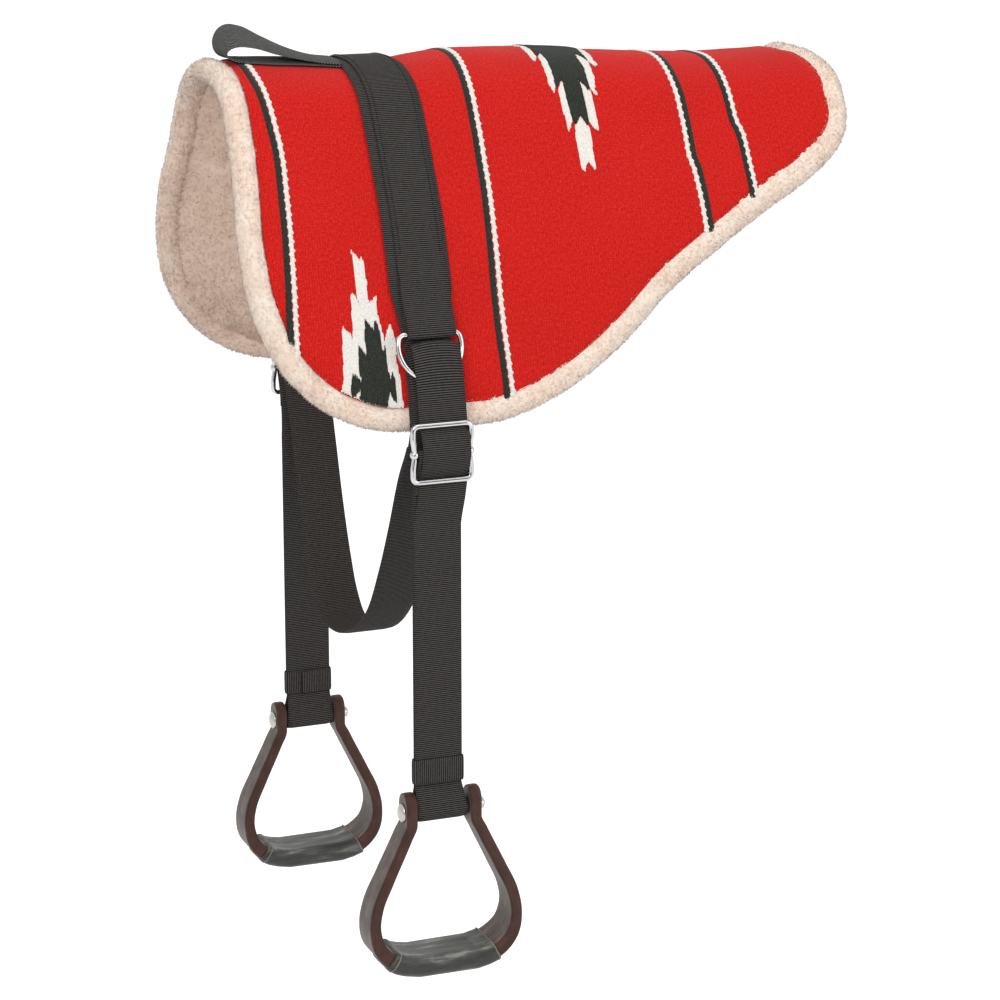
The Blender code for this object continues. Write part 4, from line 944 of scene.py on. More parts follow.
def make_roll():
    """The fleece roll sewn round the edge, lumpy and tufted, cream outside, with painted shade on its lower
    side toward the horse in the darker lining fleece.
    """
    line = roll_line()
    middle = on_pad(line[:, 0], line[:, 1], -PAD_THICK / 2)
    above = on_pad(line[:, 0], line[:, 1], 0.0)
    way = unit(np.roll(middle, -1, 0) - np.roll(middle, 1, 0))
    lift = above - middle
    lift = unit(lift - way * np.sum(lift * way, -1, keepdims=True))
    side = np.cross(way, lift)
    inward = np.sign(np.sum(side * (middle.mean(0) - middle)))
    angles = np.linspace(ROLL_START, ROLL_START + TURN, ROLL_ANGLES, endpoint=False)
    rearward = np.clip((line[:, :1] + PAD_FRONT * 0.8) / PAD_FRONT, 0, 1)
    wider = ROLL_WIDER_FRONT + (ROLL_WIDER - ROLL_WIDER_FRONT) * rearward
    across = np.cos(angles) * (1 + wider * np.maximum(0, inward * np.cos(angles)))
    ring = side[:, None] * across[..., None] + lift[:, None] * np.sin(angles)[None, :, None]
    body = middle[:, None] + ring * BINDING_RADIUS
    lumps = sum(height * ripple(body, scale, seed) for height, scale, seed in ROLL_BUMPS)
    surface = body + ring * (lumps + ROLL_FULLER)[..., None]
    faces = grid_faces(len(surface), ROLL_ANGLES, round_rows=True, round_columns=True)
    # The roll's lower side and its pile take the lining's darker fleece as painted shade
    finishes = np.tile(np.arange(ROLL_ANGLES) >= ROLL_SHADE_FROM, len(surface))
    mesh = outward(build_mesh("fleece_roll", surface, faces, finishes=finishes))
    roll = add_object(mesh, ("roll", "lining"), "pad", "fleece_binding")
    closed, facing = wrapped(surface), unit(wrapped(ring))
    for name, part, count, finish in (
            ("roll_pile", slice(0, ROLL_SHADE_FROM + 1), ROLL_TUFTS, "roll"),
            ("roll_shaded_pile", slice(ROLL_SHADE_FROM, None), ROLL_SHADED_TUFTS, "lining")):
        pile = tuft_mesh(name, closed[:, part], facing[:, part], count, ROLL_TUFT, ROLL_TUFT_WIDTH, 8, 1.2)
        add_object(pile, finish, "pad")


def inside(outline_points, x):
    """Spans of place that lie inside an outline at one X."""
    crossings = []
    for (x0, p0), (x1, p1) in zip(outline_points, outline_points[1:] + outline_points[:1]):
        if (x0 <= x) != (x1 <= x):
            crossings.append(p0 + (p1 - p0) * (x - x0) / (x1 - x0))
    crossings.sort()
    return list(zip(crossings[::2], crossings[1::2]))


def add_grids(name, grids, finish, round_columns=False):
    """Joins grids of points into one object on the pad."""
    faces, start = [], 0
    for grid in grids:
        rows, columns = grid.shape[:2]
        faces.append(grid_faces(rows, columns, round_columns=round_columns) + start)
        start += rows * columns
    points = np.vstack([grid.reshape(-1, 3) for grid in grids])
    add_object(outward(build_mesh(name, points, np.vstack(faces))), finish, "pad")


def inlay(name, shapes, finish, lift, seed):
    """Woven shapes of single yarns that run down the pad, on both sides of the spine."""
    rng = np.random.default_rng(seed)
    reach, front, rear = outline(BLANKET_INSET)
    strips = []
    for shape in shapes:
        low, high = min(point[0] for point in shape), max(point[0] for point in shape)
        for column in range(int((high - low) / YARN_PITCH) + 1):
            x = low + (column + 0.5) * YARN_PITCH
            edge = reach[(front <= x) & (x <= rear)].max()
            for start, end in inside(shape, x):
                start, end = start + rng.normal(0, YARN_RAGGED), end + rng.normal(0, YARN_RAGGED)
                end = min(end, edge)
                if end - start > YARN_SHORTEST:
                    strips += [(x, sign * max(start, 0), sign * end) for sign in (-1, 1)]
    grids = []
    profile = np.array(YARN_PROFILE)
    for x, start, end in strips:
        steps = max(int(abs(end - start) / YARN_STEP), 2)
        taper = np.ones(steps + 1)
        taper[0] = taper[-1] = 0.35
        wobble = rng.normal(0, YARN_WOBBLE, steps + 1)
        across = x + wobble[:, None] + profile[None, :, 0] * YARN_PITCH * taper[:, None]
        height = lift + profile[None, :, 1] + YARN_RISE * rng.random((steps + 1, 1))
        along = np.repeat(np.linspace(start, end, steps + 1)[:, None], len(profile), 1)
        grids.append(on_blanket(across, along, height))
    add_grids(name, grids, finish)


def stripe_path(line):
    """A stripe's line at even steps with its corners rounded."""
    return soften(resample(line, STRIPE_STEP), 6)


def chain(name, lines, finish):
    """Rows of slanted flat stitches that make a corded stripe, on both sides of the spine."""
    rng = np.random.default_rng(CHAIN_SEED)
    grids = []
    around = np.linspace(0, TURN, 9)
    half_long, half_wide = CHAIN_WIDTH * 0.56, CHAIN_PITCH * 0.52
    for line in lines:
        path = stripe_path(line)
        lengths = lengths_of(path)
        for sign in (-1, 1):
            for link in range(int(lengths[-1] / CHAIN_PITCH) + 1):
                x, place = at_lengths(path, lengths, link * CHAIN_PITCH)
                slant = math.radians(CHAIN_SLANT + rng.normal(0, 5))
                shift = (0.12 if link % 2 else -0.12) * CHAIN_WIDTH
                rings = []
                for size, rise in LINK_PROFILE:
                    a = np.cos(around) * half_long * size
                    b = np.sin(around) * half_wide * size
                    across = x + shift + a * math.cos(slant) - b * math.sin(slant)
                    along = place + a * math.sin(slant) + b * math.cos(slant)
                    rings.append(np.stack([across, sign * along, np.full_like(a, INLAY_LIFT + rise)], -1))
                grid = np.stack(rings)
                grids.append(on_blanket(grid[..., 0], grid[..., 1], grid[..., 2]))
    add_grids(name, grids, finish)


def ribbon(name, lines, finish, width):
    """Flat bands with slightly uneven edges, on both sides of the spine."""
    profile = np.array(STRIPE_PROFILE)
    grids = []
    for line in lines:
        path = stripe_path(line)
        way = unit(np.gradient(path, axis=0))
        edge = 1 + 0.08 * np.sin(np.arange(len(path)) * STRIPE_STEP * TURN / CHAIN_PITCH)
        offset = profile[None, :, 0] * width * edge[:, None]
        across = path[:, :1] + way[:, 1:] * offset
        along = np.maximum(path[:, 1:] - way[:, :1] * offset, 0)
        grids += [on_blanket(across, sign * along, INLAY_LIFT + profile[None, :, 1]) for sign in (-1, 1)]
    add_grids(name, grids, finish)


def make_pattern():
    """Corded stripes of a black and a white band, and the stepped feathers."""
    black, white = zip(*STRIPES)
    ribbon("white_cores", white, "white_yarn", CHAIN_WIDTH * 0.8)
    ribbon("black_stripes", black, "black_yarn", STRIPE_WIDTH)
    chain("white_stripes", white, "white_yarn")
    inlay("white_feathers", (LOW_FEATHER_WHITE, *HIGH_FEATHER_WHITE), "white_yarn", INLAY_LIFT, 31)
    inlay("black_feathers", (LOW_FEATHER_BLACK, HIGH_FEATHER_BLACK), "black_yarn",
          INLAY_LIFT + BLACK_RISE, 32)


def webbing_mesh(name, path, across, width, thick=WEB_THICK, pitch=RIB_PITCH, shape=None):
    """Ribbed webbing: path is its middle line, across the way of its width.

    width is one value or values at even shares of the path. shape, if given, moves the
    points: it gets the rows' distances along the path and the columns' places across from
    -1 to 1, and returns offsets."""
    line = soften(resample(path, pitch / ROWS_PER_RIB), 3)
    across = np.array(across, float)
    normal = unit(np.cross(unit(np.gradient(line, axis=0)), across))
    length = lengths_of(line)
    width = np.atleast_1d(width)
    width = np.interp(np.linspace(0, 1, len(line)), np.linspace(0, 1, len(width)), width)
    upper = [(a, 1 - WEB_EDGE_ROUND * abs(a) ** 14) for a in np.linspace(-1, 1, WEB_COLUMNS)]
    upper.append((WEB_EDGE_SHARE, 0.0))
    profile = np.array(upper + [(-a, -n) for a, n in upper])
    ribs = np.abs(np.sin(math.pi * length / pitch)) - 0.64
    inner = np.clip((1 - np.abs(profile[:, 0])) * 12, 0, 1)
    a = profile[None, :, 0] * (width[:, None] / 2)
    relief = np.sign(profile[None, :, 1]) * inner[None] * RIB_HEIGHT * ribs[:, None]
    n = profile[None, :, 1] * thick / 2 + relief
    points = line[:, None] + across * a[..., None] + normal[:, None] * n[..., None]
    if shape:
        points = points + shape(length, np.broadcast_to(profile[None, :, 0], a.shape))
    uv = np.stack([a, np.broadcast_to(length[:, None], a.shape)], -1)
    rows, columns = points.shape[:2]
    k = np.arange(columns // 2 - 2)
    cap = np.stack([k, k + 1, columns - 3 - k, columns - 2 - k], -1)
    faces = np.vstack([grid_faces(rows, columns, round_columns=True), cap, cap + (rows - 1) * columns])
    return outward(build_mesh(name, points, faces, uv))


def in_plane(line, side=1, x=0.0):
    """(outward, up) points as 3-D points on one side."""
    return np.stack([np.broadcast_to(x, len(line)), side * line[:, 0], line[:, 1]], -1)


def add_webbing(mesh, body, node, finish="webbing"):
    """Webbing that stands for a CAD piece."""
    add_object(mesh, finish, body, node)


def girth_line():
    """The belly band's line as (outward, up), hanging between the edges of the pad."""
    edge = band_point(PAD_ARC, BAND_HEIGHT)
    points = [(edge[0] * out, edge[1] - GIRTH_DROP * drop)
              for out, drop in zip(GIRTH_OUT_SHARES, GIRTH_DROP_SHARES)]
    return resample(smooth_path(points, 8), 0.001)


def shifted(line, distance):
    """A plane line moved sideways to its left."""
    way = unit(np.gradient(line, axis=0))
    return line + distance * np.stack([-way[:, 1], way[:, 0]], -1)


def make_surcingle():
    """The wide band over the pad, narrowed to a tail below each edge."""
    below = girth_line()
    lengths = lengths_of(below)
    tail = GIRTH_LAP + PAD_THICK
    near, far = (below[(place > TAIL_START) & (place <= tail)] for place in (lengths, lengths[-1] - lengths))
    places = np.linspace(-PAD_ARC, PAD_ARC, 421)
    over = np.array([band_point(place, BAND_HEIGHT) for place in places])
    line = np.vstack([near[::-1], over, far[::-1]])
    place = np.concatenate([np.full(len(near), PAD_ARC), np.abs(places), np.full(len(far), PAD_ARC)])
    full = np.clip((RING_PLACE - place) / GIRTH_LAP, 0, 1)
    width = STRAP_WIDTH + (BAND_WIDTH - STRAP_WIDTH) * full
    run = lengths_of(line)
    even = np.interp(np.linspace(0, 1, 800), run / run[-1], width)
    add_webbing(webbing_mesh("wide_band", in_plane(line, x=-BAND_FORWARD), (1, 0, 0), even),
                "pad", "surcingle")


def make_girth():
    """The belly band, sewn inside the tails of the wide band."""
    below = girth_line()
    lengths = lengths_of(below)
    inner = shifted(below, LAYER)
    line = inner[(lengths > PAD_THICK) & (lengths < lengths[-1] - PAD_THICK)]
    add_webbing(webbing_mesh("belly_band", in_plane(line, x=-BAND_FORWARD), (1, 0, 0), STRAP_WIDTH),
                "pad", "girth_band")


def ring_spot(down, out):
    """(outward, up) at a distance down from the ring's bar and out from the pad."""
    square = np.array((-RING_DOWN[1], RING_DOWN[0]))
    return np.array(RING_BAR) + RING_DOWN * down + square * out


def rigging_half():
    """The rigging strap from its sewn return, round the ring's bar, up to the spine."""
    start = RING_PLACE - RIGGING_RETURN
    half = [band_point(place, RIGGING_HEIGHT) for place in np.linspace(start, RING_PLACE - 0.006, 12)]
    for step in range(FOLD_STEPS + 1):
        angle = math.radians(-90 + 180 * step / FOLD_STEPS)
        half.append(ring_spot(RING_FOLD * math.cos(angle), RING_FOLD * math.sin(angle)))
    top = RING_HEIGHT + RING_FOLD
    clear = RIGGING_HEIGHT + LAYER + SEAT_GAP
    for share in np.linspace(0, 1, 12)[1:]:
        place = RING_PLACE - share * (RIGGING_RETURN + LAYER)
        half.append(band_point(place, top + (clear - top) * min(1, eased(share) * 1.25)))
    rest = start - 8 * LAYER
    places = [rest, *np.linspace(rest - LAYER, 0, 70)]
    return np.array(half + [band_point(place, RIGGING_HEIGHT) for place in places])


def make_rigging():
    """The rigging strap over the wide band, from ring to ring."""
    far = rigging_half()
    line = np.vstack([far * np.array([-1, 1]), far[-2::-1]])
    add_webbing(webbing_mesh("rigging_webbing", in_plane(line), (1, 0, 0), STRAP_WIDTH),
                "pad", "rigging_strap")


def handle_line():
    """The hand hold's line as (X, height above its base)."""
    back = HANDLE_BACK - BAND_FRONT
    points = [(-(back + (HANDLE_FRONT - back) * reach), HANDLE_RISE * lift)
              for reach, lift in zip(HANDLE_REACH_SHARES, HANDLE_RISE_SHARES)]
    return resample(smooth_path(points, 10), 0.0008)


def make_handle():
    """The hand hold, which leans over as it rises and lies to the near side at its back."""
    line = handle_line()
    base = band_point(0, BAND_HEIGHT)[1]
    back = np.clip(1 - (BAND_FRONT - line[:, 0]) / (HANDLE_FRONT + BAND_FRONT), 0, 1)
    aside = -HANDLE_ASIDE * np.minimum(1, back * 2.5) ** 1.5
    middle = np.stack([line[:, 0], aside, base + line[:, 1] + sway(line[:, 0], 0.0)], -1)
    run = lengths_of(line) / lengths_of(line)[-1]

    def lean(length, across):
        """Tilts the webbing and bends it over the spine."""
        rise, shift = (np.interp(length / length[-1], run, values) for values in (line[:, 1], aside))
        reach = np.abs(across * STRAP_WIDTH / 2 + shift[:, None])
        crown = np.interp(reach, OUT, UP) - UP[0]
        moved = np.zeros((*across.shape, 3))
        moved[..., 2] = np.maximum(rise - LAYER, 0)[:, None] * HANDLE_LEAN * across + crown
        return moved

    mesh = webbing_mesh("hand_webbing", middle, (0, 1, 0), STRAP_WIDTH, pitch=HANDLE_RIB_PITCH, shape=lean)
    add_webbing(mesh, "pad", "hand_hold", "handle")


def strap_line(let_out):
    """The stirrup strap's middle line as (outward, up), and its length at the ring's fold."""
    bolt = (BOLT_OUT, -BOLT_DROP - let_out)
    slide = (SLIDE_OUT, -SLIDE_DROP)
    fold = SLIDE_BAR + SEAT_GAP + WEB_THICK / 2
    low, high = slide[1] - SLIDE_HALF_HEIGHT, slide[1] + SLIDE_HALF_HEIGHT
    end = slide[1] - SEWN_RETURN
    sewn, run, back = BOLT_OUT + 3 / 2 * LAYER, BOLT_OUT + LAYER / 2, BOLT_OUT - LAYER / 2

    # Sewn round the slide's bar, then down and round the sleeve on the bolt
    path = [(sewn, end), (sewn, low)]
    path += arc_points(slide, fold, 0, 180, 20)
    turn = bolt[1] + KEEPER_ABOVE_BOLT - KEEPER_HEIGHT / 2
    wound = SLEEVE_RADIUS + SEAT_GAP + WEB_THICK / 2
    tangent = math.degrees(math.asin(wound / (turn - bolt[1])))
    path += [(run, low), (run, turn)]
    path += arc_points(bolt, wound, tangent, tangent - 180 - 2 * tangent, 32)

    # Up behind the slide, under the pad's edge and round the ring
    edge = band_point(PAD_ARC, RIGGING_HEIGHT)
    path += [(back, turn), (back, low), (back, (low + high) / 2), (back, edge[1] - 2 * LAYER)]
    past_ring = RING_PLACE + 2 * RING_RADIUS
    path.append(band_point((past_ring + PAD_ARC) / 2, RIGGING_HEIGHT + SEAT_GAP))
    contact = math.sqrt((RING_RADIUS - RING_WIRE) ** 2 - (STRAP_WIDTH / 2 + RING_FORWARD) ** 2)
    apex = RING_DROP + contact + RING_WIRE + SEAT_GAP - FOLD_SLACK
    foot = RING_DROP + RING_RADIUS + RING_WIRE
    path.append(ring_spot(foot, -RING_FOLD))
    for step in range(FOLD_STEPS + 1):
        angle = math.radians(180 - 180 * step / FOLD_STEPS)
        path.append(ring_spot(apex - RING_FOLD * math.sin(angle), RING_FOLD * math.cos(angle)))
    crest = len(path) - 1 - FOLD_STEPS // 2
    path.append(ring_spot(foot, RING_FOLD))

    # Down through the slide, over its bar, and on to the tail
    inner = slide[0] - SLIDE_WIRE - SEAT_GAP - WEB_THICK / 2
    over = slide[0] + fold + LAYER + SEAT_GAP
    wave = [(inner, high), (inner + (over - inner) * 0.75, slide[1] + SLIDE_HALF_HEIGHT / 2),
            (over, slide[1] + SLIDE_BAR), (over, slide[1] - SLIDE_BAR),
            (inner + (over - inner) * 0.62, slide[1] - SLIDE_HALF_HEIGHT / 2), (inner, low)]
    path += smooth_path(wave, 8, (inner, high + SLIDE_WIRE), (inner, low - SLIDE_WIRE))
    path += [(BOLT_OUT + 5 / 2 * LAYER, end - 2 * LAYER), (sewn, end - 10 * LAYER),
             (sewn, bolt[1] + TAIL_ABOVE_BOLT)]
    line = np.array(path)
    return line, lengths_of(line)[crest]


def make_strap(name, side, let_out):
    """The stirrup strap, one length of webbing from the slide's bar to its tail."""
    line, crest = strap_line(let_out)
    run = lengths_of(line)
    down = np.array([0, side * RING_DOWN[0], RING_DOWN[1]])
    bolt_up = -BOLT_DROP - let_out
    keeper_low = bolt_up + KEEPER_ABOVE_BOLT - KEEPER_HEIGHT / 2
    slide_low = -SLIDE_DROP - SLIDE_HALF_HEIGHT

    def shape(length, across):
        """Lifts the fold up in the ring, and sets the runs a little aside of each other."""
        fold = eased(np.clip(1 - np.abs(length - crest) / STRAP_FOLD_REACH, 0, 1))
        lift = STRAP_FOLD_HOLLOW * across ** 2 - STRAP_FOLD_LIFT
        moved = (fold[:, None] * lift)[..., None] * down
        up = np.interp(length, run, line[:, 1])
        front = np.clip((length - crest + STRAP_FOLD_EASE) / (2 * STRAP_FOLD_EASE), 0, 1)
        low = np.clip((slide_low - up) / STRAP_LOW_EASE, 0, 1)
        last = np.clip((keeper_low - up) / KEEPER_HEIGHT, 0, 1)
        kept = KEEPER_ASIDE[name] * low * (1 - STRAP_END_BACK * last)
        moved[..., 0] += (FRONT_RUN_ASIDE * front * (1 - low) - kept)[:, None]
        return moved

    even = resample(line, 0.002)
    flare = np.clip((bolt_up + STRAP_FLARE_HEIGHT - even[:, 1]) / STRAP_FLARE_HEIGHT, 0, 1)
    width = STRAP_WIDTH + STRAP_FLARE * flare
    mesh = webbing_mesh(name + "_strap_webbing", in_plane(line, side), (1, 0, 0), width, shape=shape)
    add_webbing(mesh, name + "_strap_body", name + "_stirrup_strap")


def make_ring(name, side):
    """The round wire ring with its straight bar."""
    first = math.degrees(math.asin(RING_DROP / RING_RADIUS))
    inset = math.degrees(RING_CORNER / RING_RADIUS)
    flat = RING_BAR_HALF - RING_CORNER
    points = [(x, 0) for x in np.linspace(-flat, flat, 17)]
    for angle in np.radians(np.linspace(first - inset, -180 - first + inset, 90)):
        points.append((RING_RADIUS * math.cos(angle), RING_DROP - RING_RADIUS * math.sin(angle)))
    line = np.array([(x - RING_FORWARD, *ring_spot(down, 0)) for x, down in points])
    line[:, 1] *= side
    line = soften(resample(line, WIRE_STEP, closed=True), 2, closed=True)
    add_object(tube_mesh(name + "_ring_wire", line, RING_WIRE_SEEN), "steel", name + "_ring_body",
               name + "_ring")


def slide_line(centre):
    """The slide frame's wire, pinched in beside its bar."""
    wide, high = SLIDE_HALF_WIDTH, SLIDE_HALF_HEIGHT
    corner = 2 * SLIDE_WIRE
    quarter = [(wide - SLIDE_PINCH, 0), (wide - SLIDE_PINCH, SLIDE_BALL + SEAT_GAP),
               (wide - SLIDE_PINCH / 2, high / 3), (wide, high / 2), (wide, high - corner)]
    for step in range(1, 13):
        angle = math.radians(90 * step / 12)
        quarter.append((wide - corner + corner * math.cos(angle), high - corner + corner * math.sin(angle)))
    half = [(x, -z) for x, z in quarter[:0:-1]] + quarter
    loop = np.array(half + [(0, high)] + [(-x, -z) for x, z in half] + [(0, -high)])
    even = soften(resample(loop, WIRE_STEP, closed=True), 2, closed=True)
    return np.stack([even[:, 0] + centre[0], np.full(len(even), centre[1]), even[:, 1] + centre[2]], -1)


def turned(name, profile, centre, around=40):
    """A turned solid about X from (X, radius) points, closed at the axis."""
    line = np.array(profile)
    angles = np.linspace(0, TURN, around, endpoint=False)
    ring = np.stack([np.cos(angles), np.sin(angles)], -1)
    points = np.empty((len(line), around, 3))
    points[..., 0] = line[:, :1] + centre[0]
    for axis in (0, 1):
        points[..., axis + 1] = line[:, 1:] * ring[None, :, axis] + centre[axis + 1]
    return grid_mesh(name, points)


def bevelled(profile, cut):
    """A profile with each inner corner cut back by two short chamfers."""
    line = [np.array(p, float) for p in profile]
    result = [line[0]]
    for before, here, after in zip(line, line[1:], line[2:]):
        back, on = before - here, after - here
        size = min(cut, np.linalg.norm(back) / 2.5, np.linalg.norm(on) / 2.5)
        a, b = here + unit(back) * size, here + unit(on) * size
        result += [a, (a + b + 2 * here) / 4, b]
    return result + [line[-1]]


def make_slide(name, side):
    """The slide: a wire frame and a centre bar with a ball on each end."""
    centre = (0, side * SLIDE_OUT, -SLIDE_DROP)
    half = SLIDE_HALF_WIDTH - SLIDE_PINCH
    angles = np.radians(np.linspace(0, 128, 18))
    ball = [(half + SLIDE_BALL * math.cos(a), max(SLIDE_BALL * math.sin(a), AXIS)) for a in angles]
    neck = [(x, r) for x, r in ball if r > SLIDE_BAR or x > half]
    neck.append((half - SLIDE_BALL * 1.25, SLIDE_BAR))
    profile = neck + [(-x, r) for x, r in neck[::-1]]
    wire = tube_mesh(name + "_slide_wire", slide_line(centre), SLIDE_WIRE_SEEN)
    rod = turned(name + "_slide_rod", profile, centre, 28)
    for mesh, node in ((wire, "_slide_frame"), (rod, "_slide_bar")):
        add_object(mesh, "chrome", name + "_strap_body", name + node)


def make_keeper(name, side, let_out):
    """A loop of webbing whose ribs run down, lapped on the horse's side."""
    centre = BOLT_OUT + LAYER / 2
    room = LAYER + WEB_THICK / 2 + SEAT_GAP + KEEPER_THICK / 2
    inner, outer = centre - room, centre + room
    half = STRAP_WIDTH / 2 + SOFT_GAP + KEEPER_THICK / 2
    lap = inner - KEEPER_THICK - SEAT_GAP
    start = KEEPER_LAP / 2
    corner = KEEPER_THICK
    points = [(start, inner), (-half + corner, inner)]
    for x, y, first, last in ((-half, inner, -90, -180), (-half, outer, 180, 90),
                              (half, outer, 90, 0), (half, inner, 0, -90)):
        cx = x + corner if x < 0 else x - corner
        cy = y + corner if y == inner else y - corner
        for angle in np.radians(np.linspace(first, last, 7)):
            points.append((cx + corner * math.cos(angle), cy + corner * math.sin(angle)))
    points += [(start + 3 * KEEPER_THICK, inner), (start + KEEPER_THICK / 2, lap), (-start, lap)]
    height = -BOLT_DROP - let_out + KEEPER_ABOVE_BOLT
    line = np.array([(x - KEEPER_ASIDE[name], side * y, height) for x, y in points])
    mesh = webbing_mesh(name + "_keeper_webbing", line, (0, 0, 1), KEEPER_HEIGHT, KEEPER_THICK)
    add_webbing(mesh, name + "_keeper_body", name + "_strap_keeper")


def stirrup_spine(steps=10):
    """The frame's centre line down one arm to the middle of the tread, with depth and thickness."""
    neck = (NECK_GAP + ARM_THICK) / 2
    side = [(neck + (STIRRUP_HALF_WIDTH - neck) * spread, -STIRRUP_DROP * drop)
            for spread, drop in zip(SIDE_SPREAD_SHARES, SIDE_DROP_SHARES)]
    side.append((STIRRUP_HALF_WIDTH * TURN_REACH_SHARE, -STIRRUP_DROP * TURN_DROP_SHARE))
    side.append((TREAD_FLAT_HALF, -STIRRUP_DROP))
    path = np.array(smooth_path(side, steps, behind=(0, -STIRRUP_DROP)))
    share = through(DEPTH_SHARES, np.linspace(0, 1, len(path)))
    depths = NECK_DEPTH + (TREAD_DEPTH - NECK_DEPTH) * share
    thicks = ARM_THICK + (TREAD_THICK - ARM_THICK) * np.maximum(0, share - 0.5) * 2
    return path, depths, thicks


def with_arm_top(path, depths, thicks):
    """Rounds the top of an arm with sections whose depth closes along a half circle."""
    radius = NECK_DEPTH / 2
    sunk = radius * (1 - np.cos(np.linspace(0.06, 1, 14) * math.pi / 2))
    heads = np.stack([np.full(14, path[0][0]), ARM_TOP - sunk], -1)
    head_depths = 2 * np.sqrt(radius ** 2 - (radius - sunk) ** 2)
    head_thicks = ARM_THICK * (0.72 + 0.28 * np.minimum(1, 6 * sunk / radius) ** 0.5)
    keep = path[:, 1] < ARM_TOP - radius - 0.0005
    return (np.vstack([heads, path[keep]]), np.concatenate([head_depths, depths[keep]]),
            np.concatenate([head_thicks, thicks[keep]]))


def whole(path, depths, thicks):
    """Both arms of the frame from one."""
    left = path * np.array([-1, 1])
    return (np.vstack([left, path[::-1]]), np.concatenate([depths, depths[::-1]]),
            np.concatenate([thicks, thicks[::-1]]))


def section_points(thickness, depth, radius, corner=SECTION_CORNER_STEPS, flat=SECTION_FLAT_STEPS):
    """A rounded rectangle as (across, along depth) points."""
    radius = min(radius, thickness / 2.2, depth / 2.2)
    points = []
    corners = ((1, 1), (-1, 1), (-1, -1), (1, -1))
    for quarter, (sx, sy) in enumerate(corners):
        for step in range(corner):
            angle = math.radians(90 * quarter + 90 * step / (corner - 1))
            points.append((sx * (thickness / 2 - radius) + radius * math.cos(angle),
                           sy * (depth / 2 - radius) + radius * math.sin(angle)))
        ahead = corners[(quarter + 1) % 4]
        last = np.array(points[-1])
        angle = math.radians(90 * (quarter + 1))
        onward = np.array((ahead[0] * (thickness / 2 - radius) + radius * math.cos(angle),
                           ahead[1] * (depth / 2 - radius) + radius * math.sin(angle)))
        for step in range(1, flat):
            points.append(tuple(last + (onward - last) * step / flat))
    return np.array(points)


def loft(name, path, sections, centre, finishes=None, capped=True):
    """A skin over sections that stand square to a path in the X-Z plane, with UVs along it."""
    way = unit(np.gradient(path, axis=0))
    across = np.stack([-way[:, 1], way[:, 0]], -1)
    sections = np.asarray(sections)
    points = np.empty((*sections.shape[:2], 3))
    points[..., 0] = path[:, :1] + across[:, :1] * sections[..., 0] + centre[0]
    points[..., 1] = sections[..., 1] + centre[1]
    points[..., 2] = path[:, 1:] + across[:, 1:] * sections[..., 0] + centre[2]
    run = lengths_of(path)
    girth = lengths_of(sections[len(sections) // 2])
    uv = np.stack(np.broadcast_arrays(run[:, None], girth[None]), -1)
    rows, columns = points.shape[:2]
    faces = grid_faces(rows, columns, round_columns=True)
    slots = None if finishes is None else np.tile(finishes, rows - 1)
    mesh = build_mesh(name, points, faces, uv, slots)
    if not capped:
        return outward(mesh)
    work = bmesh.new()
    work.from_mesh(mesh)
    work.verts.ensure_lookup_table()
    corners = list(work.verts)
    for start in (0, (rows - 1) * columns):
        peak = work.verts.new(points[start // columns].mean(0))
        for k in range(columns):
            face = work.faces.new((corners[start + k], corners[start + (k + 1) % columns], peak))
            face.smooth = True
    bmesh.ops.recalc_face_normals(work, faces=work.faces)
    work.to_mesh(mesh)
    work.free()
    return mesh


def make_stirrup(name, side, let_out):
    """The bent wood frame, the leather on its tread, and the bolt with its nut and sleeve."""
    centre = (0, side * BOLT_OUT, -BOLT_DROP - let_out)
    body = name + "_stirrup_body"
    path, depths, thicks = whole(*with_arm_top(*stirrup_spine()))
    sections = [section_points(t, d, FRAME_EDGE_ROUND) for t, d in zip(thicks, depths)]
    run = SECTION_CORNER_STEPS + SECTION_FLAT_STEPS - 1
    finishes = np.zeros(4 * run, int)
    for quarter in (1, 3):
        start = quarter * run + SECTION_CORNER_STEPS - 1
        finishes[np.arange(start - 1, start + SECTION_FLAT_STEPS + 1) % (4 * run)] = 1
    mesh = loft(name + "_bent_frame", path, sections, centre, finishes)
    add_object(mesh, ("wood", "flank"), body, name + "_stirrup_frame")
    make_cover(name, centre, body)

    seat = NECK_GAP / 2 + ARM_THICK + SEAT_GAP
    angles = np.radians(np.linspace(0, 80, 12))
    bolt = [(-seat - BOLT_HEAD_HEIGHT * math.cos(a), max(BOLT_HEAD_RADIUS * math.sin(a), AXIS))
            for a in angles]
    tip = seat + NUT_HEIGHT + BOLT_END
    bolt += [(-seat - BOLT_HEAD_HEIGHT * 0.06, BOLT_HEAD_RADIUS), (-seat, BOLT_HEAD_RADIUS * 0.97),
             (-seat, BOLT_RADIUS), (tip - BOLT_RADIUS / 2, BOLT_RADIUS),
             (tip - BOLT_RADIUS / 6, BOLT_RADIUS * 0.8), (tip, AXIS)]
    washer, thread = NUT_RADIUS * 1.45, BOLT_RADIUS * 1.05
    nut = bevelled([(seat, thread), (seat, washer), (seat + NUT_HEIGHT * 0.2, washer),
                    (seat + NUT_HEIGHT * 0.22, NUT_RADIUS), (seat + NUT_HEIGHT, NUT_RADIUS),
                    (seat + NUT_HEIGHT, thread)], 0.0005)
    half = NECK_GAP / 2 - SEAT_GAP
    bore = BOLT_RADIUS + SEAT_GAP
    sleeve = bevelled([(half, bore), (half, SLEEVE_RADIUS), (-half, SLEEVE_RADIUS), (-half, bore)], 0.0004)
    sleeve.append(np.array((half, bore)))
    for piece, profile, finish, rides, slot, node in (
            ("_bolt", bolt, "nickel", body, "nickel", "_stirrup_bolt"),
            ("_nut", nut, "nickel", body, "nickel", "_bolt_nut"),
            ("_sleeve", sleeve, "bushing", name + "_strap_body", "steel", "_bolt_sleeve")):
        add_object(turned(name + piece, profile, centre), finish, rides, name + node)


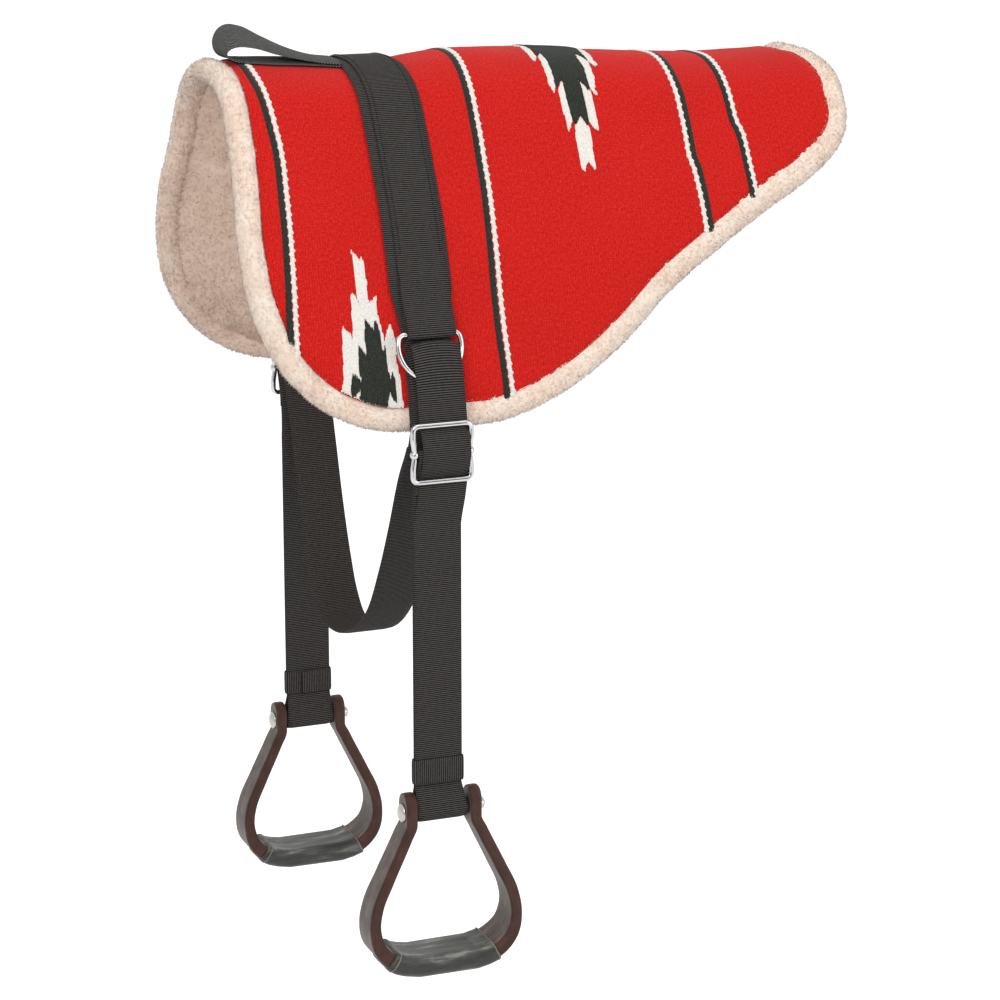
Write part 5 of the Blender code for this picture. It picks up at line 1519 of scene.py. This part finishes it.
def make_cover(name, centre, body):
    """Leather wrapped round the tread, creased, with a sewn edge at each end."""
    path, depths, thicks = whole(*stirrup_spine(14))
    spanned = (path[:, 0] >= -COVER_HALF_SPAN) & (path[:, 0] <= COVER_REAR_SPAN)
    kept = spanned & (path[:, 1] < -STIRRUP_DROP * SIDE_DROP_SHARES[-1])
    path, depths, thicks = path[kept], depths[kept], thicks[kept]
    coarse = lengths_of(path)
    edges = np.array(COVER_EDGE_STEPS)
    run = np.unique(np.concatenate([coarse, edges, coarse[-1] - edges]))
    path = at_lengths(path, coarse, run)
    depths, thicks = np.interp(run, coarse, depths), np.interp(run, coarse, thicks)
    sections = []
    for place, thick, depth in zip(run, thicks, depths):
        edge = max(min(place, run[-1] - place), 0)
        grow = 2 * SEAT_GAP + 2 * LEATHER_THICK * math.sqrt(min(1, edge / COVER_EDGE_STEPS[-1]))
        rounding = FRAME_EDGE_ROUND + grow / 2 + COVER_EDGE_ROUND
        sections.append(section_points(thick + grow, depth + grow, rounding, 8, 10))
    sections = np.array(sections)
    spread = np.broadcast_to(path[:, :1], sections.shape[:2])
    flat = np.stack([spread, sections[..., 1], sections[..., 0]], -1)
    folds = (LEATHER_FOLD * ripple(flat * np.array([0.25, 1, 1]), 75, 5)
             + LEATHER_CREASE * ripple(flat, 140, 9))
    sections = sections + unit(sections) * folds[..., None]
    leather = loft(name + "_tread_leather", path, sections, centre, capped=False)
    add_object(leather, "leather", body, name + "_tread_cover")
    way = unit(np.gradient(path, axis=0))
    meshes = []
    for index in np.searchsorted(run, (COVER_SEAM_IN, run[-1] - COVER_SEAM_IN)):
        across, depth = (sections[index] * COVER_SEAM_OUT).T
        ring = np.stack([path[index][0] - way[index][1] * across + centre[0], depth + centre[1],
                         path[index][1] + way[index][0] * across + centre[2]], -1)
        meshes.append(tube_mesh("seam", resample(ring, 0.0012, closed=True), THREAD, 8))
    add_object(joined(name + "_tread_seam", meshes), "pale_thread", body)


def on_band(x, places, height):
    """A line over the pad at one X, level like the bands."""
    places = np.asarray(places, float)
    return on_pad(np.broadcast_to(x, places.shape), places, height, swayed=False)


def band_facing(points):
    """Outward direction of the pad at points near its surface."""
    place = np.interp(-points[:, 2], -UP, PLACES)
    out = np.interp(place, PLACES, OUT_WAY) * np.sign(points[:, 1])
    return np.stack([np.zeros(len(points)), out, np.interp(place, PLACES, UP_WAY)], -1)


def stitches(line):
    """Short thread stitches along a line, each dipping into the webbing at its ends."""
    line = resample(line, 0.0006)
    lengths = lengths_of(line)
    around = np.linspace(0, TURN, 6, endpoint=False)
    sink = np.array([-1.0, 0.05, 0.35, 0.05, -1.0])[:, None] * THREAD
    size = np.array([0.5, 0.9, 1.0, 0.9, 0.5])[:, None, None] * THREAD
    grids = []
    for index in range(int(lengths[-1] / STITCH_PITCH)):
        spots = (index + 0.15) * STITCH_PITCH + STITCH_LENGTH * np.array([0, 0.18, 0.5, 0.82, 1])
        centre = at_lengths(line, lengths, spots)
        facing = unit(band_facing(centre))
        side = unit(np.cross(unit(centre[-1] - centre[0]), facing))
        grids.append((centre + facing * sink)[:, None] + spokes(side, facing, around) * size)
    return grids


def make_stitching():
    """Rows that hold the rigging strap down, and two across it at each return."""
    top = RIGGING_HEIGHT + WEB_THICK / 2 + RIB_HEIGHT
    start = RING_PLACE - RIGGING_RETURN
    half = STRAP_WIDTH / 2 - STITCH_INSET
    lines = [on_band(x, np.linspace(-start + 0.03, start - 0.03, 300), top) for x in (-half, half)]
    across = np.linspace(-half, half, 40)
    for sign in (-1, 1):
        for place in (start - 0.004, start - 0.010):
            lines.append(on_band(across, np.full(40, sign * (place + 0.016)), top + LAYER))
    grids = [grid for line in lines for grid in stitches(line)]
    add_grids("band_stitches", grids, "thread", round_columns=True)


def add_camera():
    """The camera at the photograph's place and angle."""
    level = math.cos(CAMERA_PITCH)
    ahead = Vector((math.sin(CAMERA_YAW) * level, math.cos(CAMERA_YAW) * level, -math.sin(CAMERA_PITCH)))
    right = Vector((math.cos(CAMERA_YAW), -math.sin(CAMERA_YAW), 0))
    camera = bpy.data.objects.new("camera", bpy.data.cameras.new("camera"))
    bpy.context.scene.collection.objects.link(camera)
    matrix = Matrix((right, right.cross(ahead), -ahead)).transposed().to_4x4()
    matrix.translation = CAMERA_PLACE
    camera.matrix_world = matrix
    camera.data.sensor_width = 36
    camera.data.lens = CAMERA_LENS
    camera.data.clip_end = 60
    bpy.context.scene.camera = camera


def add_light(name, place, size, energy):
    """A soft rectangular light that faces the pad."""
    light = bpy.data.lights.new(name, "AREA")
    light.shape = "RECTANGLE"
    light.size, light.size_y = size
    light.energy = energy
    item = bpy.data.objects.new(name, light)
    bpy.context.scene.collection.objects.link(item)
    item.location = place
    item.rotation_euler = (Vector(LIT_SPOT) - Vector(place)).to_track_quat("-Z", "Y").to_euler()


def seen_directly(tree):
    """1 for rays from the camera and in reflections, 0 for the light that falls on things."""
    rays = add_node(tree, "ShaderNodeLightPath").outputs
    seen = math_node(tree, "MAXIMUM", rays["Is Camera Ray"], rays["Is Glossy Ray"])
    return math_node(tree, "MAXIMUM", seen, rays["Is Transmission Ray"])


def add_board(name, corners, material):
    """A flat board of the stage."""
    mesh = bpy.data.meshes.new(name)
    mesh.from_pydata(corners, [], [(0, 1, 2, 3)])
    mesh.materials.append(material)
    board = bpy.data.objects.new(name, mesh)
    bpy.context.scene.collection.objects.link(board)
    return board


def stage_material(name, grey):
    """A dull grey for the stage's boards, with its tree and shader."""
    material, tree, shader = new_material(name, 0.9, Specular_IOR_Level=0.0)
    shader.inputs["Base Color"].default_value = (grey, grey, grey, 1)
    return material, tree, shader


def add_stage():
    """A pale floor well below the stirrups, a white surround, dark cards and soft light.

    The cards are seen only in the reflections of the metal."""
    low, reach = cad_box[0][2] - FLOOR_BELOW, FLOOR_REACH
    pale, tree, shader = stage_material("pale_floor", 0.85)
    shader.inputs["Emission Color"].default_value = (1, 1, 1, 1)
    glow = math_node(tree, "MULTIPLY", seen_directly(tree), FLOOR_GLOW)
    tree.links.new(glow, shader.inputs["Emission Strength"])
    corners = [(-reach, -reach, low), (reach, -reach, low), (reach, reach, low), (-reach, reach, low)]
    add_board("floor", corners, pale)
    dark = stage_material("dark_card", 0.02)[0]
    right = np.array((math.cos(CAMERA_YAW), -math.sin(CAMERA_YAW), 0))
    for name, left, far in CARDS:
        (x0, y0, _), (x1, y1, _) = (np.array(CARDS_PLACE) + right * place for place in (left, far))
        card = add_board(name, [(x0, y0, CARDS_FOOT), (x1, y1, CARDS_FOOT), (x1, y1, CARDS_HEAD),
                                (x0, y0, CARDS_HEAD)], dark)
        card.visible_camera = card.visible_diffuse = card.visible_shadow = False
    world = bpy.data.worlds.new("studio")
    world.use_nodes = True
    tree = world.node_tree
    light = math_node(tree, "MAXIMUM", seen_directly(tree), AMBIENT)
    tree.links.new(light, tree.nodes["Background"].inputs["Strength"])
    tree.nodes["Background"].inputs["Color"].default_value = (1, 1, 1, 1)
    bpy.context.scene.world = world
    for light in LIGHTS:
        add_light(*light)
    bpy.context.scene.view_settings.view_transform = "Standard"


def main():
    """Builds the stage and every piece."""
    add_camera()
    add_stage()
    FINISHES.update(make_finishes())
    make_blanket()
    make_felt()
    make_lining()
    make_roll()
    make_pattern()
    make_surcingle()
    make_girth()
    make_rigging()
    make_handle()
    for name, side in SIDES:
        let_out = FAR_LET_OUT if side > 0 else 0
        make_ring(name, side)
        make_strap(name, side, let_out)
        make_slide(name, side)
        make_keeper(name, side, let_out)
        make_stirrup(name, side, let_out)
    make_stitching()


main()
